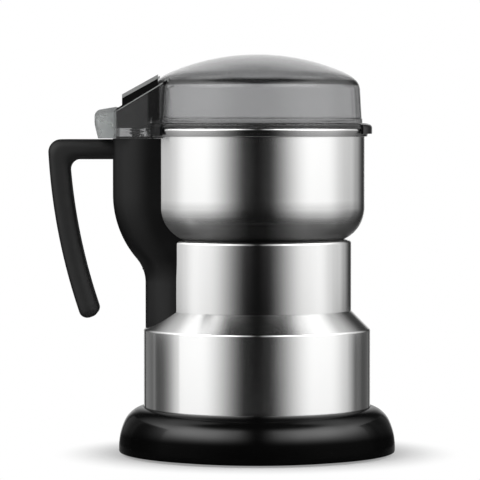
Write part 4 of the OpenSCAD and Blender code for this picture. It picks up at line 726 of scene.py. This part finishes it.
bar_z = HANDLE_TOP - GRIP_T
in_lean = math.asin((grip_c[1] - bar_z + GRIP_IN_R) / (in_r - GRIP_IN_R))
out_lean = math.asin((grip_c[1] - HANDLE_TOP + GRIP_OUT_R) / (out_r - GRIP_OUT_R))
out_c = (grip_c[0] + (out_r - GRIP_OUT_R) * math.cos(out_lean), HANDLE_TOP - GRIP_OUT_R)
in_c = (grip_c[0] + (in_r - GRIP_IN_R) * math.cos(in_lean), bar_z - GRIP_IN_R)
bulge = GRIP_BULGE / GRIP_R
foot_lean = math.asin((grip_c[1] - GRIP_Z) / GRIP_R) - bulge
grip_root = COLUMN_X - GRIP_INTO * HANDLE_WALL
rings = [grip_ring((grip_root, HANDLE_TOP), (grip_root, bar_z))]
for i in range(CORNER_STEPS + 1):
    s = i / CORNER_STEPS
    a, b = (math.pi / 2 - s * (math.pi / 2 + lean) for lean in (out_lean, in_lean))
    rings.append(grip_ring(around(out_c, GRIP_OUT_R, a), around(in_c, GRIP_IN_R, b)))
for i in range(1, ARM_STEPS + 1):
    s = i / ARM_STEPS
    rings.append(arm_ring(*(lean + s * (foot_lean - lean) for lean in (out_lean, in_lean))))
for i in range(1, END_STEPS + 1):
    a = math.radians(END_TURN * i / END_STEPS)
    end = foot_lean + bulge * math.sin(a) / math.sin(math.radians(END_TURN))
    rings.append(arm_ring(end, end, GRIP_T / 2 * (1 - math.cos(a)) * END_SHRINK))

# Inside the handle: a shelf for the pin, bosses for the switch and bosses for the two screws from the neck
SHELF_TOP, SHELF_T, PIN_R = 140.9, 2.5, 2.55
SWITCH_Z, SWITCH_PITCH, SWITCH_BOSS_R, SWITCH_BORE, SWITCH_BEHIND = 124.398, 9.5, 2.5, 1.3, 3.2
HANDLE_SCREWS, HANDLE_BOSS_R, HANDLE_BORE = ((77.3, COLUMN_FOOT_X), (96.3, COLUMN_FOOT_X + 2.96)), 4.0, 1.7
handle = join(column(COLUMN_Z, HANDLE_TOP + COLUMN_RISE), loft(rings))
cut(handle, column(COLUMN_Z + HANDLE_WALL, HANDLE_TOP - HANDLE_ROOF, HANDLE_WALL))
join(handle, common(column(COLUMN_Z + PAST, HANDLE_TOP - PAST, HANDLE_WALL / 2),
                    block((-COLUMN_X, -HANDLE_W / 2, SHELF_TOP - SHELF_T), (-COLUMN_BACK, HANDLE_W / 2, SHELF_TOP))))
for y in (-SWITCH_PITCH / 2, SWITCH_PITCH / 2):
    join(handle, rod((y, SWITCH_Z), SWITCH_BOSS_R, -COLUMN_X + HANDLE_WALL / 2, -PIN_U - SWITCH_BEHIND, "x"))
    cut(handle, rod((y, SWITCH_Z), SWITCH_BORE, -COLUMN_X + HANDLE_WALL, -COLUMN_BACK, "x"))
for z, face in HANDLE_SCREWS:
    join(handle, rod((0, z), HANDLE_BOSS_R, -face + HANDLE_WALL / 2, -COLUMN_BACK, "x"))
    cut(handle, rod((0, z), HANDLE_BORE, -face + HANDLE_WALL, -COLUMN_BACK, "x"))
cut(handle, lathe([(0, SHELL_Z - HANDLE_GAP)] + shell_side(-HANDLE_GAP) + [(0, NECK_Z + HANDLE_GAP)]),
    lathe([(0, NECK_Z - HANDLE_GAP)] + arc(corner_c, CORNER + HANDLE_GAP, -CORNER_TURN, 0, 24)
          + [(BOWL_R + HANDLE_GAP, RIM_TOP), (0, RIM_TOP)]),
    rod((-PIN_U, 0), PIN_R, SHELF_TOP - SHELF_T - PAST, HANDLE_TOP + PAST))
show(handle, "handle_moulding", "body", "handle_black", "handle")
handle.visible_glossy = False
handle.data.materials.append(finishes["grip_black"].material)
for face in handle.data.polygons:
    face.material_index = int(face.center.x < -(COLUMN_X + PAST) * MM)

# Small rounded edges on the key and its cap
SOFT_EDGE, SOFT_STEPS, SOFT_FROM = 0.35, 3, 35
for node in ("press_key", "key_cap"):
    softer = frame["nodes"][node].modifiers.new("softer", "BEVEL")
    softer.width, softer.segments = SOFT_EDGE * MM, SOFT_STEPS
    softer.limit_method, softer.angle_limit = "ANGLE", math.radians(SOFT_FROM)

# Floor: pale paper that keeps the shadow near the object and passes into the white backdrop further out
FLOOR_R, FLOOR_STEPS, FADE_FROM, FADE_TO, FADE_LOW = 0.104, 96, 0.066, 0.103, 0.3
floor_mesh = bpy.data.meshes.new("floor")
corners = [2 * math.pi * k / FLOOR_STEPS for k in range(FLOOR_STEPS)]
floor_mesh.from_pydata([(FLOOR_R * math.cos(a), FLOOR_R * math.sin(a), 0) for a in corners], [],
                       [tuple(range(FLOOR_STEPS))])
floor = bpy.data.objects.new("floor", floor_mesh)
scene.collection.objects.link(floor)
paper_floor = Finish("floor_paper", (0.62, 0.62, 0.62), 0.9, specular_ior_level=0.0)
paper_floor.vary_rough(paper_floor.noise(30.0), 0.05)
apart = paper_floor.add("VectorMath", {0: paper_floor.place}, operation="LENGTH").outputs["Value"]
light_path = paper_floor.add("LightPath").outputs
seen = paper_floor.math("MAXIMUM", light_path["Is Camera Ray"], light_path["Is Transmission Ray"])
fade = paper_floor.math("MULTIPLY", paper_floor.fit(apart, FADE_FROM, FADE_TO, FADE_LOW, 1.0, True), seen)
white = paper_floor.add("Emission", {"Color": WHITE, "Strength": 1.0})
blend = paper_floor.add("MixShader", {0: fade, 1: paper_floor.surface.outputs[0], 2: white.outputs[0]})
paper_floor.send(blend.outputs[0])
floor_mesh.materials.append(paper_floor.material)

# Studio cards at both sides of the body's foot, graded from front to back and seen only in its polished wall
CARD_X, CARD_LOW, CARD_HIGH = 120.0, -10.0, 63.0
CARD_LEFT = ((-48, 0.75), (-38, 0.62), (-28, 0.38), (-17, 0.2), (-5, 0.1), (8, 0.075), (20, 0.085), (29, 0.2),
             (41, 0.13), (75, 0.18), (130, 0.22))
CARD_RIGHT = ((-14, 0.5), (-6, 0.42), (1, 0.26), (9, 0.12), (20, 0.145), (31, 0.12), (42, 0.075), (62, 0.078),
              (89, 0.1), (140, 0.18))


def card(name, x, tones):
    first, last = tones[0][0], tones[-1][0]
    mesh = bpy.data.meshes.new(name)
    corners = ((first, CARD_LOW), (last, CARD_LOW), (last, CARD_HIGH), (first, CARD_HIGH))
    mesh.from_pydata([(x * MM, y * MM, z * MM) for y, z in corners], [], [(0, 1, 2, 3)])
    item = bpy.data.objects.new(name, mesh)
    scene.collection.objects.link(item)
    for rays in ("camera", "diffuse", "transmission", "volume_scatter", "shadow"):
        setattr(item, "visible_" + rays, False)
    grey = Finish(name, (0, 0, 0), 1.0)
    tone = grey.plan(grey.spot()[1], first, last, tones, "LINEAR")
    grey.send(grey.add("Emission", {"Color": WHITE, "Strength": tone}).outputs[0])
    mesh.materials.append(grey.material)


card("card_left", -CARD_X, CARD_LEFT)
card("card_right", CARD_X, CARD_RIGHT)
